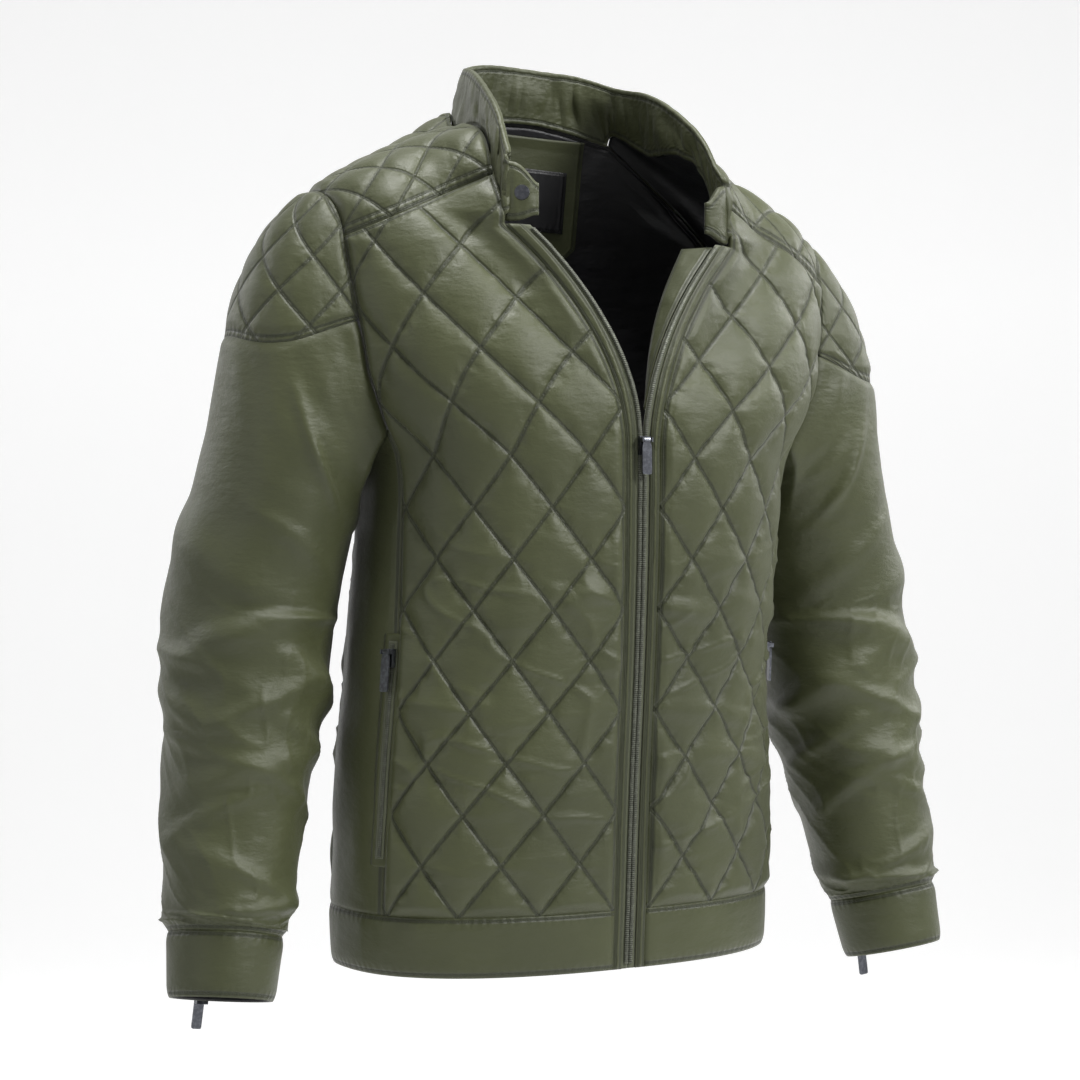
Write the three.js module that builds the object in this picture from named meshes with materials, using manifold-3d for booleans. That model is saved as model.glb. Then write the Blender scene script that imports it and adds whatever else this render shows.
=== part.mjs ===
// A quilted stand-collar jacket, zipped to the chest, filled out as it hangs on the shoulders.
// Millimetres, +Z up. The origin is between the two side-neck points, the front faces -Y
// and the wearer's left is +X.
import * as THREE from "three";
import { mergeVertices } from "three/addons/utils/BufferGeometryUtils.js";
import Module from "manifold-3d";

// Driving sizes
const seamGap = 0.4; // between two pieces at a seam
const shellWall = 2.6; // quilted and plain body cloth
const sleeveWall = 2.2;
const trimWall = 1.4; // zip tapes, plackets and facings
const collarWall = 3.4;
const hemTop = -606; // seam of the hem band
const hemEdge = -651; // bottom edge of the jacket
const sliderZ = -258; // where the front zip is open from
const zipTopZ = -94; // top end of the front zip
const zipHalf = 6; // half width of the closed zip between the plackets
const placketWidth = 8;
const frontNeckX = 96; // neck edge of the fronts, from the centre
const backNeckZ = 20;
const collarHeight = 46;
const cuffHeight = 47;
const sideSeam = 71; // degrees round from the centre front
const backSeam = 115;
const armholeCorner = -245; // height where the armhole's sides turn into its bottom
const armholeDip = 17; // how far the armhole's bottom hangs below its corners
const armholeMiddle = 93; // degrees round, the underarm point
const ringPower = 2.4; // how square the body's rings are
const pocketTop = -400;
const pocketLow = -566;
const diamondWidth = 58;
const diamondHeight = 76;
const puffHeight = 4.2;
const edgeRaise = 0.15; // share of the quilting's height that is left along a seam

// Body rings: height, half width, depth in front of and behind the axis
const bodyRings = [
  { z: -660, half: 181, front: 114, back: 100 },
  { z: -606, half: 183, front: 117, back: 101 },
  { z: -500, half: 178, front: 123, back: 97 },
  { z: -400, half: 171, front: 131, back: 97 },
  { z: -300, half: 168, front: 139, back: 103 },
  { z: -262, half: 171, front: 140, back: 107 },
  { z: -235, half: 186, front: 139, back: 109 },
  { z: -205, half: 202, front: 135, back: 111 },
  { z: -160, half: 213, front: 124, back: 111 },
  { z: -110, half: 218, front: 107, back: 107 },
  { z: -72, half: 215, front: 86, back: 100 },
  { z: -42, half: 168, front: 64, back: 94 },
  { z: 0, half: 122, front: 50, back: 86 },
  { z: 24, half: 112, front: 44, back: 78 },
];

// Sleeve rings along the arm: centre, then half width side to side and front to back
const sleeveRings = [
  { x: 237, y: 25, z: -306, side: 61, deep: 75 },
  { x: 253, y: 31, z: -376, side: 63, deep: 73 },
  { x: 262, y: 18, z: -446, side: 58, deep: 66 },
  { x: 272, y: 8, z: -520, side: 51, deep: 58 },
  { x: 283, y: -10, z: -600, side: 45, deep: 49 },
  { x: 286, y: -14, z: -621, side: 42, deep: 46 },
  { x: 292, y: -23, z: -668, side: 38, deep: 43 },
];
const sleeveSeamRing = 5; // the row above where the cuff is sewn on

// Sleeve folds: place along the arm (1 is the bicep ring, 2 the cuff seam), angle round it
// (0 outside, 90 front), half sizes along and round, height, and lean of the fold
const sleeveFolds = [
  { t: 1.12, angle: 20, along: 0.05, round: 60, height: 4, lean: 0.05 },
  { t: 1.3, angle: 70, along: 0.035, round: 55, height: 5, lean: -0.06 },
  { t: 1.38, angle: 140, along: 0.03, round: 60, height: 5, lean: 0.05 },
  { t: 1.45, angle: 30, along: 0.035, round: 50, height: 4.5, lean: 0.07 },
  { t: 1.56, angle: 80, along: 0.035, round: 60, height: 4, lean: -0.05 },
  { t: 1.5, angle: 250, along: 0.04, round: 60, height: 4, lean: 0.05 },
  { t: 1.7, angle: 20, along: 0.04, round: 55, height: 3.5, lean: 0.06 },
  { t: 1.82, angle: 110, along: 0.035, round: 60, height: 3, lean: -0.04 },
  { t: 1.9, angle: 320, along: 0.03, round: 50, height: 3, lean: 0.03 },
];

// How the jacket hangs: below the chest off its axis sideways and turned about it, and with
// the shoulders tilted, lower on the wearer's left
const hangShift = -13;
const hangTwist = 7; // degrees
const shoulderTilt = 0.048;

const rad = Math.PI / 180;
const lerp = (a, b, t) => a + (b - a) * t;
const clamp = (x, lo, hi) => Math.min(hi, Math.max(lo, x));
const V = (x, y, z) => new THREE.Vector3(x, y, z);
const smooth = (t) => clamp(t, 0, 1) ** 2 * (3 - 2 * clamp(t, 0, 1));

// A smooth curve through the named columns of a table, at place k counted in rows
function rowAt(table, k, columns) {
  const last = table.length - 1;
  const i = clamp(Math.floor(k), 0, last - 1);
  const t = k - i;
  const [a, b, c, d] = [i - 1, i, i + 1, i + 2].map((n) => table[clamp(n, 0, last)]);
  return columns.map((name) => {
    const m = (c[name] - a[name]) / 2;
    const n = (d[name] - b[name]) / 2;
    const t2 = t * t;
    const t3 = t2 * t;
    return (
      (2 * t3 - 3 * t2 + 1) * b[name] +
      (t3 - 2 * t2 + t) * m +
      (3 * t2 - 2 * t3) * c[name] +
      (t3 - t2) * n
    );
  });
}

// The body's half width, front depth and back depth at a height
function ringAt(z) {
  let i = 0;
  while (i < bodyRings.length - 2 && bodyRings[i + 1].z < z) i++;
  const t = (z - bodyRings[i].z) / (bodyRings[i + 1].z - bodyRings[i].z);
  const s = clamp(t, 0, 1);
  return rowAt(bodyRings, i + s, ["half", "front", "back"]);
}

// A point of the closed body, theta degrees round from the centre front towards the left side
function torso(theta, z) {
  const [half, front, back] = ringAt(z);
  const s = Math.sin(theta * rad);
  const c = Math.cos(theta * rad);
  const bend = (v) => Math.sign(v) * Math.abs(v) ** (2 / ringPower);
  return V(half * bend(s), -(c > 0 ? front : back) * bend(c), z);
}

// The angle at which the front (or the back) of a ring has a given x
function thetaAt(x, z, onBack = false) {
  const share = clamp(Math.abs(x) / ringAt(z)[0], 0, 1) ** (ringPower / 2);
  const angle = Math.asin(share) / rad;
  return onBack ? 180 - angle : angle;
}

// How far the front is open at a height: 0 at the slider, 1 at the top of the zip
const openShare = (z) => clamp((z - sliderZ) / (zipTopZ - sliderZ), 0, 1.05);
const teethX = (z) => 0.3 + 78 * openShare(z) ** 2; // where each row of teeth lies
const quiltEdgeX = (z) => teethX(z) + zipHalf + placketWidth + 4 * openShare(z);

// The opened edge stands forward, with a shallow valley behind it
function openFront(point, x) {
  const open = openShare(point.z);
  const away = x - teethX(point.z);
  const lift = 15 * open * Math.exp(-((away / 26) ** 2));
  const valley = 7 * open * Math.exp(-(((away - 48) / 22) ** 2));
  return V(point.x, point.y - lift + valley, point.z);
}

function frontPoint(theta, z) {
  const p = torso(theta, z);
  return openFront(p, p.x);
}

// Shoulders, collar and sleeve tops tilt a little
const tilt = (p) => V(p.x, p.y, p.z - shoulderTilt * p.x * smooth((p.z + 320) / 220));

// Below the chest the body hangs a little to one side and turned
function hang(point) {
  const p = tilt(point);
  const share = smooth((armholeCorner - armholeDip - p.z) / 200);
  const turn = hangTwist * share * rad;
  const [c, s] = [Math.cos(turn), Math.sin(turn)];
  return V(p.x * c - p.y * s + hangShift * share, p.x * s + p.y * c, p.z);
}

// Quilting: seams cross in diamonds over the cloth's own width and height
function quiltHeight(round, up, wide, tall) {
  const p = Math.abs(Math.sin(Math.PI * (round / wide + up / tall)));
  const q = Math.abs(Math.sin(Math.PI * (round / wide - up / tall)));
  return Math.sqrt(p * q);
}

// Cloth's width from the centre front on a middle ring, in millimetres, worked out once
const clothRound = (() => {
  const steps = 180;
  const sums = [0];
  for (let i = 1; i <= steps; i++)
    sums.push(sums[i - 1] + torso(i, -330).distanceTo(torso(i - 1, -330)));
  return (theta) => {
    const t = clamp(theta, 0, steps - 1e-6);
    return lerp(sums[Math.floor(t)], sums[Math.floor(t) + 1], t % 1);
  };
})();
const pocketFlat = (theta, z) =>
  smooth((theta - 60) / 6) * smooth((pocketTop + 30 - z) / 20) * smooth((z - pocketLow + 30) / 20);
const bodyQuilt = (theta, z) =>
  puffHeight *
  (theta < 90 ? 1 - pocketFlat(theta, z) : 1) *
  quiltHeight(clothRound(theta) - zipHalf - placketWidth, z - hemTop, diamondWidth, diamondHeight);

// A patch between four boundary curves, each a function of 0..1 giving [theta, z]
function patch(left, right, bottom, top) {
  const corner = [bottom(0), bottom(1), top(0), top(1)];
  return (u, v) =>
    [0, 1].map((i) => {
      const rows = lerp(bottom(u)[i], top(u)[i], v);
      const columns = lerp(left(v)[i], right(v)[i], u);
      const flat = lerp(
        lerp(corner[0][i], corner[1][i], u),
        lerp(corner[2][i], corner[3][i], u),
        v,
      );
      return rows + columns - flat;
    });
}

// A cloth wall over a surface: outer points raised by a height, a plain inside, closed rims.
// inset is the share of the seam gap kept at each edge, and away the distance off the surface.
function wall(surface, columns, rows, thick, raise = () => 0, options = {}) {
  const { closed = false, insideOut = false, inset = [1, 1, 1, 1], away = 0 } = options;
  const step = 1e-3;
  const at = (u, v) => surface(u, v);
  const wide = at(0, 0.5).distanceTo(at(0.5, 0.5)) + at(0.5, 0.5).distanceTo(at(1, 0.5));
  const tall = at(0.5, 0).distanceTo(at(0.5, 0.5)) + at(0.5, 0.5).distanceTo(at(0.5, 1));
  const cutU = seamGap / 2 / Math.max(wide, 1);
  const cutV = seamGap / 2 / Math.max(tall, 1);
  const count = closed ? columns : columns + 1;
  const outer = [];
  const inner = [];
  const heights = [];
  for (let j = 0; j <= rows; j++) {
    for (let i = 0; i < count; i++) {
      const u = closed ? i / columns : lerp(cutU * inset[0], 1 - cutU * inset[1], i / columns);
      const v = lerp(cutV * inset[2], 1 - cutV * inset[3], j / rows);
      const p = at(u, v);
      const du = at(u + step, v).sub(at(u - step, v));
      const dv = at(u, v + step).sub(at(u, v - step));
      const normal = du.cross(dv).normalize();
      if (insideOut) normal.negate();
      const sewn = j === 0 || j === rows || (!closed && (i === 0 || i === columns));
      heights.push(raise(u, v) * (sewn ? edgeRaise : 1));
      outer.push(p.clone().addScaledVector(normal, away + heights.at(-1)));
      inner.push(p.clone().addScaledVector(normal, away - thick));
    }
  }
  const index = [];
  const n = outer.length;
  const id = (i, j) => (closed ? i % count : i) + j * count;
  const quad = (a, b, c, d) => index.push(a, b, c, a, c, d);
  for (let j = 0; j < rows; j++)
    for (let i = 0; i < columns; i++) {
      const [a, b, c, d] = [id(i, j), id(i + 1, j), id(i + 1, j + 1), id(i, j + 1)];
      // The diagonal lies along the lower pair, so that a groove isn't bridged
      if (heights[a] + heights[c] <= heights[b] + heights[d]) quad(a, b, c, d);
      else quad(b, c, d, a);
      quad(n + a, n + d, n + c, n + b);
    }
  for (let i = 0; i < columns; i++) {
    quad(n + id(i, 0), n + id(i + 1, 0), id(i + 1, 0), id(i, 0));
    quad(id(i, rows), id(i + 1, rows), n + id(i + 1, rows), n + id(i, rows));
  }
  if (!closed)
    for (let j = 0; j < rows; j++) {
      quad(id(0, j), id(0, j + 1), n + id(0, j + 1), n + id(0, j));
      quad(n + id(columns, j), n + id(columns, j + 1), id(columns, j + 1), id(columns, j));
    }
  if (insideOut)
    for (let i = 0; i < index.length; i += 3)
      [index[i + 1], index[i + 2]] = [index[i + 2], index[i + 1]];
  const geometry = new THREE.BufferGeometry();
  const points = [...outer, ...inner].flatMap((p) => [p.x, p.y, p.z]);
  geometry.setAttribute("position", new THREE.Float32BufferAttribute(points, 3));
  geometry.setIndex(index);
  return geometry;
}

// The same surface on the wearer's right side, before it hangs
const mirrored = (surface) => (u, v) => surface(u, v).multiply(V(-1, 1, 1));
const hung = (surface) => (u, v) => hang(surface(u, v));
const tilted = (surface) => (u, v) => tilt(surface(u, v));

// Materials
const cloth = (color, roughness, metalness = 0) =>
  new THREE.MeshStandardMaterial({ color, roughness, metalness, side: THREE.DoubleSide });
const quiltedCloth = cloth(0x4b5236, 0.5);
const plainCloth = cloth(0x474e33, 0.42);
const liningCloth = cloth(0x0d0d10, 0.4);
const zipCloth = cloth(0x3f462f, 0.7);
const darkMetal = cloth(0x2b2d33, 0.3, 0.9);

const jacket = new THREE.Group();
function add(name, geometry, material) {
  const mesh = new THREE.Mesh(geometry, material);
  mesh.name = name;
  jacket.add(mesh);
  return mesh;
}
// A piece on both sides of the jacket, from the surface on the wearer's left
function addPair(name, surface, columns, rows, thick, material, raise, options = {}) {
  const placed = options.loose ? tilted : hung;
  const other = { ...options, insideOut: !options.insideOut };
  const right = placed(mirrored(surface));
  add(`${name}_left`, wall(placed(surface), columns, rows, thick, raise, options), material);
  add(`${name}_right`, wall(right, columns, rows, thick, raise, other), material);
}

// Seams, each as a curve of [theta, z] or of points
const yokeFront = [
  { x: frontNeckX, z: -54 },
  { x: 204, z: -108 },
];
const yokeBack = [
  { x: 72, z: 8 },
  { x: 204, z: -100 },
];
const yokeSeamFront = (p) => {
  const z = lerp(yokeFront[0].z, yokeFront[1].z, p);
  return [thetaAt(lerp(yokeFront[0].x, yokeFront[1].x, p), z), z];
};
const yokeSeamBack = (p) => {
  const z = lerp(yokeBack[0].z, yokeBack[1].z, p);
  return [thetaAt(lerp(yokeBack[0].x, yokeBack[1].x, p), z, true), z];
};
const armholeSide = (v, start, end) => {
  const z = lerp(armholeCorner, end[1], v);
  return [lerp(start, end[0], v) + Math.sign(start - 90) * 3 * Math.sin(Math.PI * v), z];
};
const underarm = (theta) => {
  const share = (theta - sideSeam) / (backSeam - sideSeam);
  return armholeCorner - armholeDip * Math.sin(Math.PI * share);
};

// Fronts. Their inner edge runs up the zip and then up the neck seam.
const frontRows = 25;
const neckRows = 3;
const yokeColumns = 12;
const kink = 1 - neckRows / frontRows; // share of the inner edge that is beside the zip
const sideShare = 0.633; // share of a panel's side edge that is below the armhole
const frontSide = (v) =>
  v < sideShare
    ? [sideSeam, lerp(hemTop, armholeCorner, v / sideShare)]
    : armholeSide((v - sideShare) / (1 - sideShare), sideSeam, yokeSeamFront(1));
const frontEdge = (v) => {
  const up = (v - kink) / (1 - kink);
  const z = up < 0 ? lerp(hemTop, zipTopZ, v / kink) : lerp(zipTopZ, yokeFront[0].z, up);
  const x = up < 0 ? quiltEdgeX(z) : lerp(quiltEdgeX(zipTopZ), frontNeckX, up);
  return [thetaAt(x, z), z];
};
const frontBottom = (u) => [lerp(frontEdge(0)[0], sideSeam, u), hemTop];
const frontCut = patch(frontEdge, frontSide, frontBottom, yokeSeamFront);
const frontSurface = (u, v) => frontPoint(...frontCut(u, v));
addPair("front", frontSurface, yokeColumns, frontRows, shellWall, quiltedCloth, (u, v) =>
  bodyQuilt(...frontCut(u, v)),
);

// Side panels, plain
const sideCut = (u, v) => {
  const theta = lerp(sideSeam, backSeam, u);
  return [theta, lerp(hemTop, underarm(theta), v)];
};
const sideSurface = (u, v) => torso(...sideCut(u, v));
addPair("side_panel", sideSurface, 4, 16, shellWall, plainCloth, undefined, { inset: [1, 5, 1, 1] });

// Back, one quilted piece up to the neck and the yokes
const backSide = (v) =>
  v < sideShare
    ? [backSeam, lerp(hemTop, armholeCorner, v / sideShare)]
    : armholeSide((v - sideShare) / (1 - sideShare), backSeam, yokeSeamBack(1));
const mirrorBack = ([theta, z]) => [360 - theta, z];
const backNeckColumns = 3;
const backNeckShare = backNeckColumns / (backNeckColumns + yokeColumns);
const backTopHalf = (u) => {
  if (u < 1 - backNeckShare) return yokeSeamBack(1 - u / (1 - backNeckShare));
  const t = (u - 1 + backNeckShare) / backNeckShare;
  const z = lerp(yokeBack[0].z, backNeckZ, Math.sin((t * Math.PI) / 2));
  return [thetaAt(lerp(yokeBack[0].x, 0, t), z, true), z];
};
const backTop = (u) => (u <= 0.5 ? backTopHalf(2 * u) : mirrorBack(backTopHalf(2 - 2 * u)));
const backBottom = (u) => [lerp(backSeam, 360 - backSeam, u), hemTop];
const backCut = patch(backSide, (v) => mirrorBack(backSide(v)), backBottom, backTop);
const backSurface = (u, v) => hang(torso(...backCut(u, v)));
const backQuilt = (u, v) => {
  const [theta, z] = backCut(u, v);
  return bodyQuilt(theta > 180 ? 360 - theta : theta, z);
};
const backColumns = 2 * (backNeckColumns + yokeColumns);
const backRows = 20;
add("back", wall(backSurface, backColumns, backRows, shellWall, backQuilt), quiltedCloth);

// Shoulder yokes: an arch from the front seam over the shoulder to the back seam
const shoulderTop = (p) =>
  V(lerp(89, 212, p), lerp(8, 4, p), lerp(-6, -69, p) + 6 * Math.sin(Math.PI * p));
function yokeSurface(p, q) {
  const share = clamp(p, -0.01, 1.01);
  const [tf, zf] = yokeSeamFront(share);
  const [tb, zb] = yokeSeamBack(share);
  const front = frontPoint(tf, zf);
  const back = torso(tb, zb);
  const top = shoulderTop(share);
  const onFront = q < 0.5;
  const seam = onFront ? front : back;
  const t = onFront ? q * 2 : (1 - q) * 2;
  const slope = onFront
    ? frontPoint(tf, zf + 4).sub(front)
    : torso(tb, zb + 4).sub(back);
  const reach = seam.distanceTo(top);
  const rise = slope.setX(0).normalize().multiplyScalar(reach * 0.4);
  const flat = V(0, seam.y - top.y, 0).normalize().multiplyScalar(reach * 0.42);
  const curve = new THREE.CubicBezierCurve3(
    seam,
    seam.clone().add(rise),
    top.clone().add(flat),
    top,
  );
  return curve.getPoint(clamp(t, 0, 1));
}
const yokeQuilt = (p, q) => 2.6 * quiltHeight(p * 132, q * 150, 44, 50);
const yokeRows = 8;
addPair("yoke", (u, v) => yokeSurface(1 - u, v), yokeColumns, yokeRows, shellWall, quiltedCloth, (u, v) =>
  yokeQuilt(1 - u, v),
{ inset: [1, 1, 2, 8] });

// The armhole as one loop: 0 at the shoulder, 90 in front, 180 underneath, 270 behind
function armhole(angle) {
  const a = ((angle % 360) + 360) % 360;
  const frontCorner = 52;
  const lowCorner = 140;
  if (a < frontCorner) return yokeSurface(1, 0.5 - (0.5 * a) / frontCorner);
  if (a < lowCorner) {
    const v = 1 - (a - frontCorner) / (lowCorner - frontCorner);
    return frontPoint(...armholeSide(v, sideSeam, yokeSeamFront(1)));
  }
  if (a <= 360 - lowCorner) {
    const theta = lerp(sideSeam, backSeam, (a - lowCorner) / (360 - 2 * lowCorner));
    return torso(theta, underarm(theta));
  }
  if (a <= 360 - frontCorner) {
    const v = (a - 360 + lowCorner) / (lowCorner - frontCorner);
    return torso(...armholeSide(v, backSeam, yokeSeamBack(1)));
  }
  return yokeSurface(1, 0.5 + (0.5 * (360 - a)) / frontCorner);
}

// A point of the sleeve's rings, place counted in rows of the table
const ringColumns = ["x", "y", "z", "side", "deep"];
function sleeveRing(k, angle) {
  const [x, y, z, side, deep] = rowAt(sleeveRings, k, ringColumns);
  const before = rowAt(sleeveRings, Math.max(k - 0.1, 0), ringColumns);
  const after = rowAt(sleeveRings, Math.max(k - 0.1, 0) + 0.2, ringColumns);
  const along = V(after[0] - before[0], after[1] - before[1], after[2] - before[2]).normalize();
  const ahead = V(0, -1, 0);
  ahead.addScaledVector(along, -ahead.dot(along)).normalize();
  const out = new THREE.Vector3().crossVectors(along, ahead).normalize();
  if (out.x < 0) out.negate();
  return V(x, y, z)
    .addScaledVector(out, side * Math.cos(angle * rad))
    .addScaledVector(ahead, deep * Math.sin(angle * rad));
}

// The sleeve from the armhole (0) by the bicep ring (1) to the cuff seam (2) and cuff edge (3)
function sleevePoint(angle, t) {
  if (t >= 2) return sleeveRing(sleeveSeamRing + (t - 2), angle);
  if (t >= 1) return sleeveRing((t - 1) * sleeveSeamRing, angle);
  const c = Math.cos(angle * rad);
  const start = armhole(angle);
  const leave = V(0.85, 0, lerp(-1.2, -0.6, (c + 1) / 2)).normalize();
  start.addScaledVector(leave, 2.4);
  const end = sleeveRing(0, angle);
  const arrive = sleeveRing(0.12, angle).sub(end).normalize();
  const reach = start.distanceTo(end);
  const curve = new THREE.CubicBezierCurve3(
    start,
    start.clone().addScaledVector(leave, reach * 0.36),
    end.clone().addScaledVector(arrive, -reach * 0.36),
    end,
  );
  return curve.getPoint(clamp(t, 0, 1));
}
function foldHeight(angle, t) {
  let sum = 0;
  for (const f of sleeveFolds) {
    const da = ((((angle - f.angle) % 360) + 540) % 360) - 180;
    const dt = t - f.t - (f.lean * da) / 60;
    sum += f.height * Math.exp(-((dt / f.along) ** 2) - (da / f.round) ** 2);
  }
  return sum;
}

// Quilted sleeve cap above its seam, and the plain sleeve below it
const capHalf = 90; // degrees that the cap reaches to each side of the shoulder
const capSeam = (angle) => {
  const a = ((((angle % 360) + 540) % 360) - 180) / capHalf;
  const past = Math.max(Math.abs(a) - 1, 0);
  return Math.max(0.03 - 0.2 * past, 0) + 0.53 * (1 - Math.min(Math.abs(a), 1) ** 3);
};
const capSurface = (u, v) => {
  const angle = lerp(-capHalf, capHalf, u);
  return sleevePoint(angle, capSeam(angle) * (1 - v));
};
addPair("sleeve_cap", capSurface, 12, 5, sleeveWall, quiltedCloth, (u, v) =>
  2.4 * quiltHeight(u * 210, (1 - v) * 100 * capSeam(lerp(-capHalf, capHalf, u)) * 1.7, 42, 50),
{ inset: [1, 1, 6, 1], loose: true });
const sleeveSurface = (u, v) => {
  const angle = -360 * u;
  const top = capSeam(angle) * 1.02;
  const t = v < 0.34 ? lerp(top, 1, v / 0.34) : lerp(1, 2, (v - 0.34) / 0.66);
  return sleevePoint(angle, t);
};
addPair("sleeve", sleeveSurface, 24, 13, sleeveWall, plainCloth, (u, v) =>
  v < 0.34 ? 0 : foldHeight(-360 * u, lerp(1, 2, (v - 0.34) / 0.66)),
{ closed: true, insideOut: true, inset: [0, 0, 5, 3], loose: true });
const cuffSurface = (u, v) => sleevePoint(-360 * u, 2 + v);
addPair("cuff", cuffSurface, 24, 2, sleeveWall, plainCloth, undefined,
{ closed: true, insideOut: true, inset: [0, 0, 3, 0], loose: true });

// Hem band in one piece from zip to zip
const hemStart = thetaAt(zipHalf + placketWidth, hemTop);
const hemSurface = (u, v) => torso(lerp(hemStart, 360 - hemStart, u), lerp(hemEdge, hemTop, v));
add("hem_band", wall(hung(hemSurface), 38, 2, shellWall, undefined, { inset: [1, 1, 0, 4] }), plainCloth);

// Plackets beside the zip, zip halves, and facings that show where the front is open
const hemRows = 3;
const stripRows = hemRows + frontRows - neckRows;
const alongFront = (v) => {
  const row = v * stripRows;
  return row < hemRows
    ? lerp(hemEdge, hemTop, row / hemRows)
    : lerp(hemTop, zipTopZ, (row - hemRows) / (stripRows - hemRows));
};
const strip = (near, far) => (u, v) => {
  const z = alongFront(v);
  const x = lerp(near(z), far(z), u);
  return openFront(torso(thetaAt(x, z), z), x);
};
const zipSide = (z) => teethX(z) + zipHalf;
const sunk = (surface, depth) => (u, v) => surface(u, v).add(V(0, depth, 0));
addPair("placket", strip(zipSide, quiltEdgeX), 1, stripRows, trimWall, plainCloth, () => 1,
  { inset: [1, 3, 0, 1] });
addPair("zip", sunk(strip(teethX, zipSide), 1.2), 2, stripRows, trimWall, zipCloth,
  (u) => (u < 0.6 ? 1.4 : 0), { inset: [0, 1, 0, 1] });
const facingSurface = (u, v) => {
  const z = lerp(sliderZ + 30, zipTopZ - 2, v);
  const open = openShare(z);
  const ridge = openFront(torso(thetaAt(teethX(z), z), z), teethX(z));
  const back = V(ridge.x + lerp(10, -14, open), ridge.y + lerp(5, 26, open) + 4, z);
  return ridge.add(V(-0.6, 4.4, 0)).lerp(back, u);
};
addPair("facing", facingSurface, 1, 12, trimWall, plainCloth, undefined, { insideOut: true });

// Neck seam from the centre back (0) to the end of the front (1), along the pieces' own edges
// and with a column at each of their points: back, yoke, front, and the strips beside the zip
const neckColumns = [backNeckColumns, yokeRows, neckRows, 2];
const collarHalf = neckColumns.reduce((a, b) => a + b);
function neckHalf(w) {
  let k = clamp(w, 0, 1) * collarHalf;
  if (k <= neckColumns[0]) return torso(...backTopHalf(1 - (backNeckShare * k) / neckColumns[0]));
  k -= neckColumns[0];
  if (k <= neckColumns[1]) return yokeSurface(0, 1 - k / neckColumns[1]);
  k -= neckColumns[1];
  if (k <= neckColumns[2]) return frontPoint(...frontEdge(1 - ((1 - kink) * k) / neckColumns[2]));
  k -= neckColumns[2];
  const x = lerp(quiltEdgeX(zipTopZ), teethX(zipTopZ) - 6, k / neckColumns[3]);
  return openFront(torso(thetaAt(x, zipTopZ), zipTopZ), x);
}
const collarTop = (w) =>
  1.04 - 0.06 * smooth(Math.abs(w) / 0.3) - 0.34 * smooth((Math.abs(w) - 0.86) / 0.14) ** 2;
const collarSurface = (u, v) => {
  const w = lerp(-1, 1, u);
  const base = neckHalf(Math.abs(w));
  if (w < 0) base.x *= -1;
  const inward = V(0, -8, base.z).sub(base).setZ(0).normalize();
  const foot = 0.12 * smooth((Math.abs(w) - 0.9) / 0.1);
  const height = collarHeight * lerp(foot, collarTop(w), v);
  const lean = 3.1 + 5 * v * (1 - smooth((Math.abs(w) - 0.7) / 0.3));
  const lift = lerp(-2.4, 2.6, smooth((Math.abs(w) - 0.76) / 0.1));
  return base.addScaledVector(inward, lean).add(V(0, 0, lift + height));
};
const collarGeometry = wall(
  tilted(collarSurface),
  2 * collarHalf,
  3,
  collarWall,
  (u, v) => Math.sin(Math.PI * v),
  { insideOut: true, inset: [1, 1, 0, 0] },
);
add("collar", collarGeometry, plainCloth);

// A surface moved along its own outward normal
const shifted = (surface, distance) => (u, v) => {
  const step = 1e-3;
  const du = surface(u + step, v).sub(surface(u - step, v));
  const dv = surface(u, v + step).sub(surface(u, v - step));
  return surface(u, v).addScaledVector(du.cross(dv).normalize(), distance);
};

// Back lining under the collar, the hanging patch on it, and a plain label on the patch
const liningWall = 1;
const patchCentre = 10;
const backInside = (width, top, low, middle = 0) => (u, v) => {
  const z = lerp(low, top, v);
  const x = middle + lerp(1, -1, u) * width(v);
  return torso(x < 0 ? 360 - thetaAt(x, z, true) : thetaAt(x, z, true), z);
};
const layer = (n) => -(shellWall + seamGap + n * (liningWall + seamGap));
const liningColumns = 16; // of the back's own
const liningRows = 10;
const liningSurface = (u, v) =>
  backSurface(0.5 + ((u - 0.5) * liningColumns) / backColumns, 1 - ((1 - v) * liningRows) / backRows);
const liningInset = [1, 1, 1, 22];
add("lining", wall(liningSurface, liningColumns, liningRows, liningWall, undefined,
  { inset: liningInset, away: layer(0) - 0.6 }), liningCloth);
const patchHalf = 42;
const patchWidth = (v) => patchHalf * (v < 0.2 ? lerp(0.45, 1, v / 0.2) : 1);
const patchSurface = backInside(patchWidth, 10, -100, patchCentre);
add("patch", wall(tilted(patchSurface), 6, 8, liningWall, undefined, { away: layer(1) - 1.7 }), plainCloth);
const labelSurface = backInside(() => 29, -16, -66, patchCentre);
add("label", wall(tilted(labelSurface), 4, 4, 0.6, undefined, { away: layer(2) - 1.9 }), liningCloth);

// Pockets: a plain welt over the side seam with a zip on it
const weltSurface = (low, high, top, foot) => (u, v) => torso(lerp(low, high, u), lerp(foot, top, v));
const welt = weltSurface(66.5, 77, pocketTop + 4, pocketLow - 4);
addPair("pocket_welt", welt, 2, 8, 1.2, plainCloth, undefined, { away: 1.7 });
const pocketZip = weltSurface(70.2, 73.6, pocketTop - 2, pocketLow + 2);
addPair("pocket_zip", pocketZip, 2, 8, trimWall, zipCloth, undefined, { away: 3.6 });

// Cuff zips at the back of each cuff
const cuffZip = (u, v) => sleevePoint(lerp(276, 264, u), lerp(2.96, 2.06, v));
addPair("cuff_zip", cuffZip, 2, 3, trimWall, zipCloth, undefined,
{ away: trimWall + 0.5, inset: [0, 0, 0, 0], loose: true });

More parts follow.
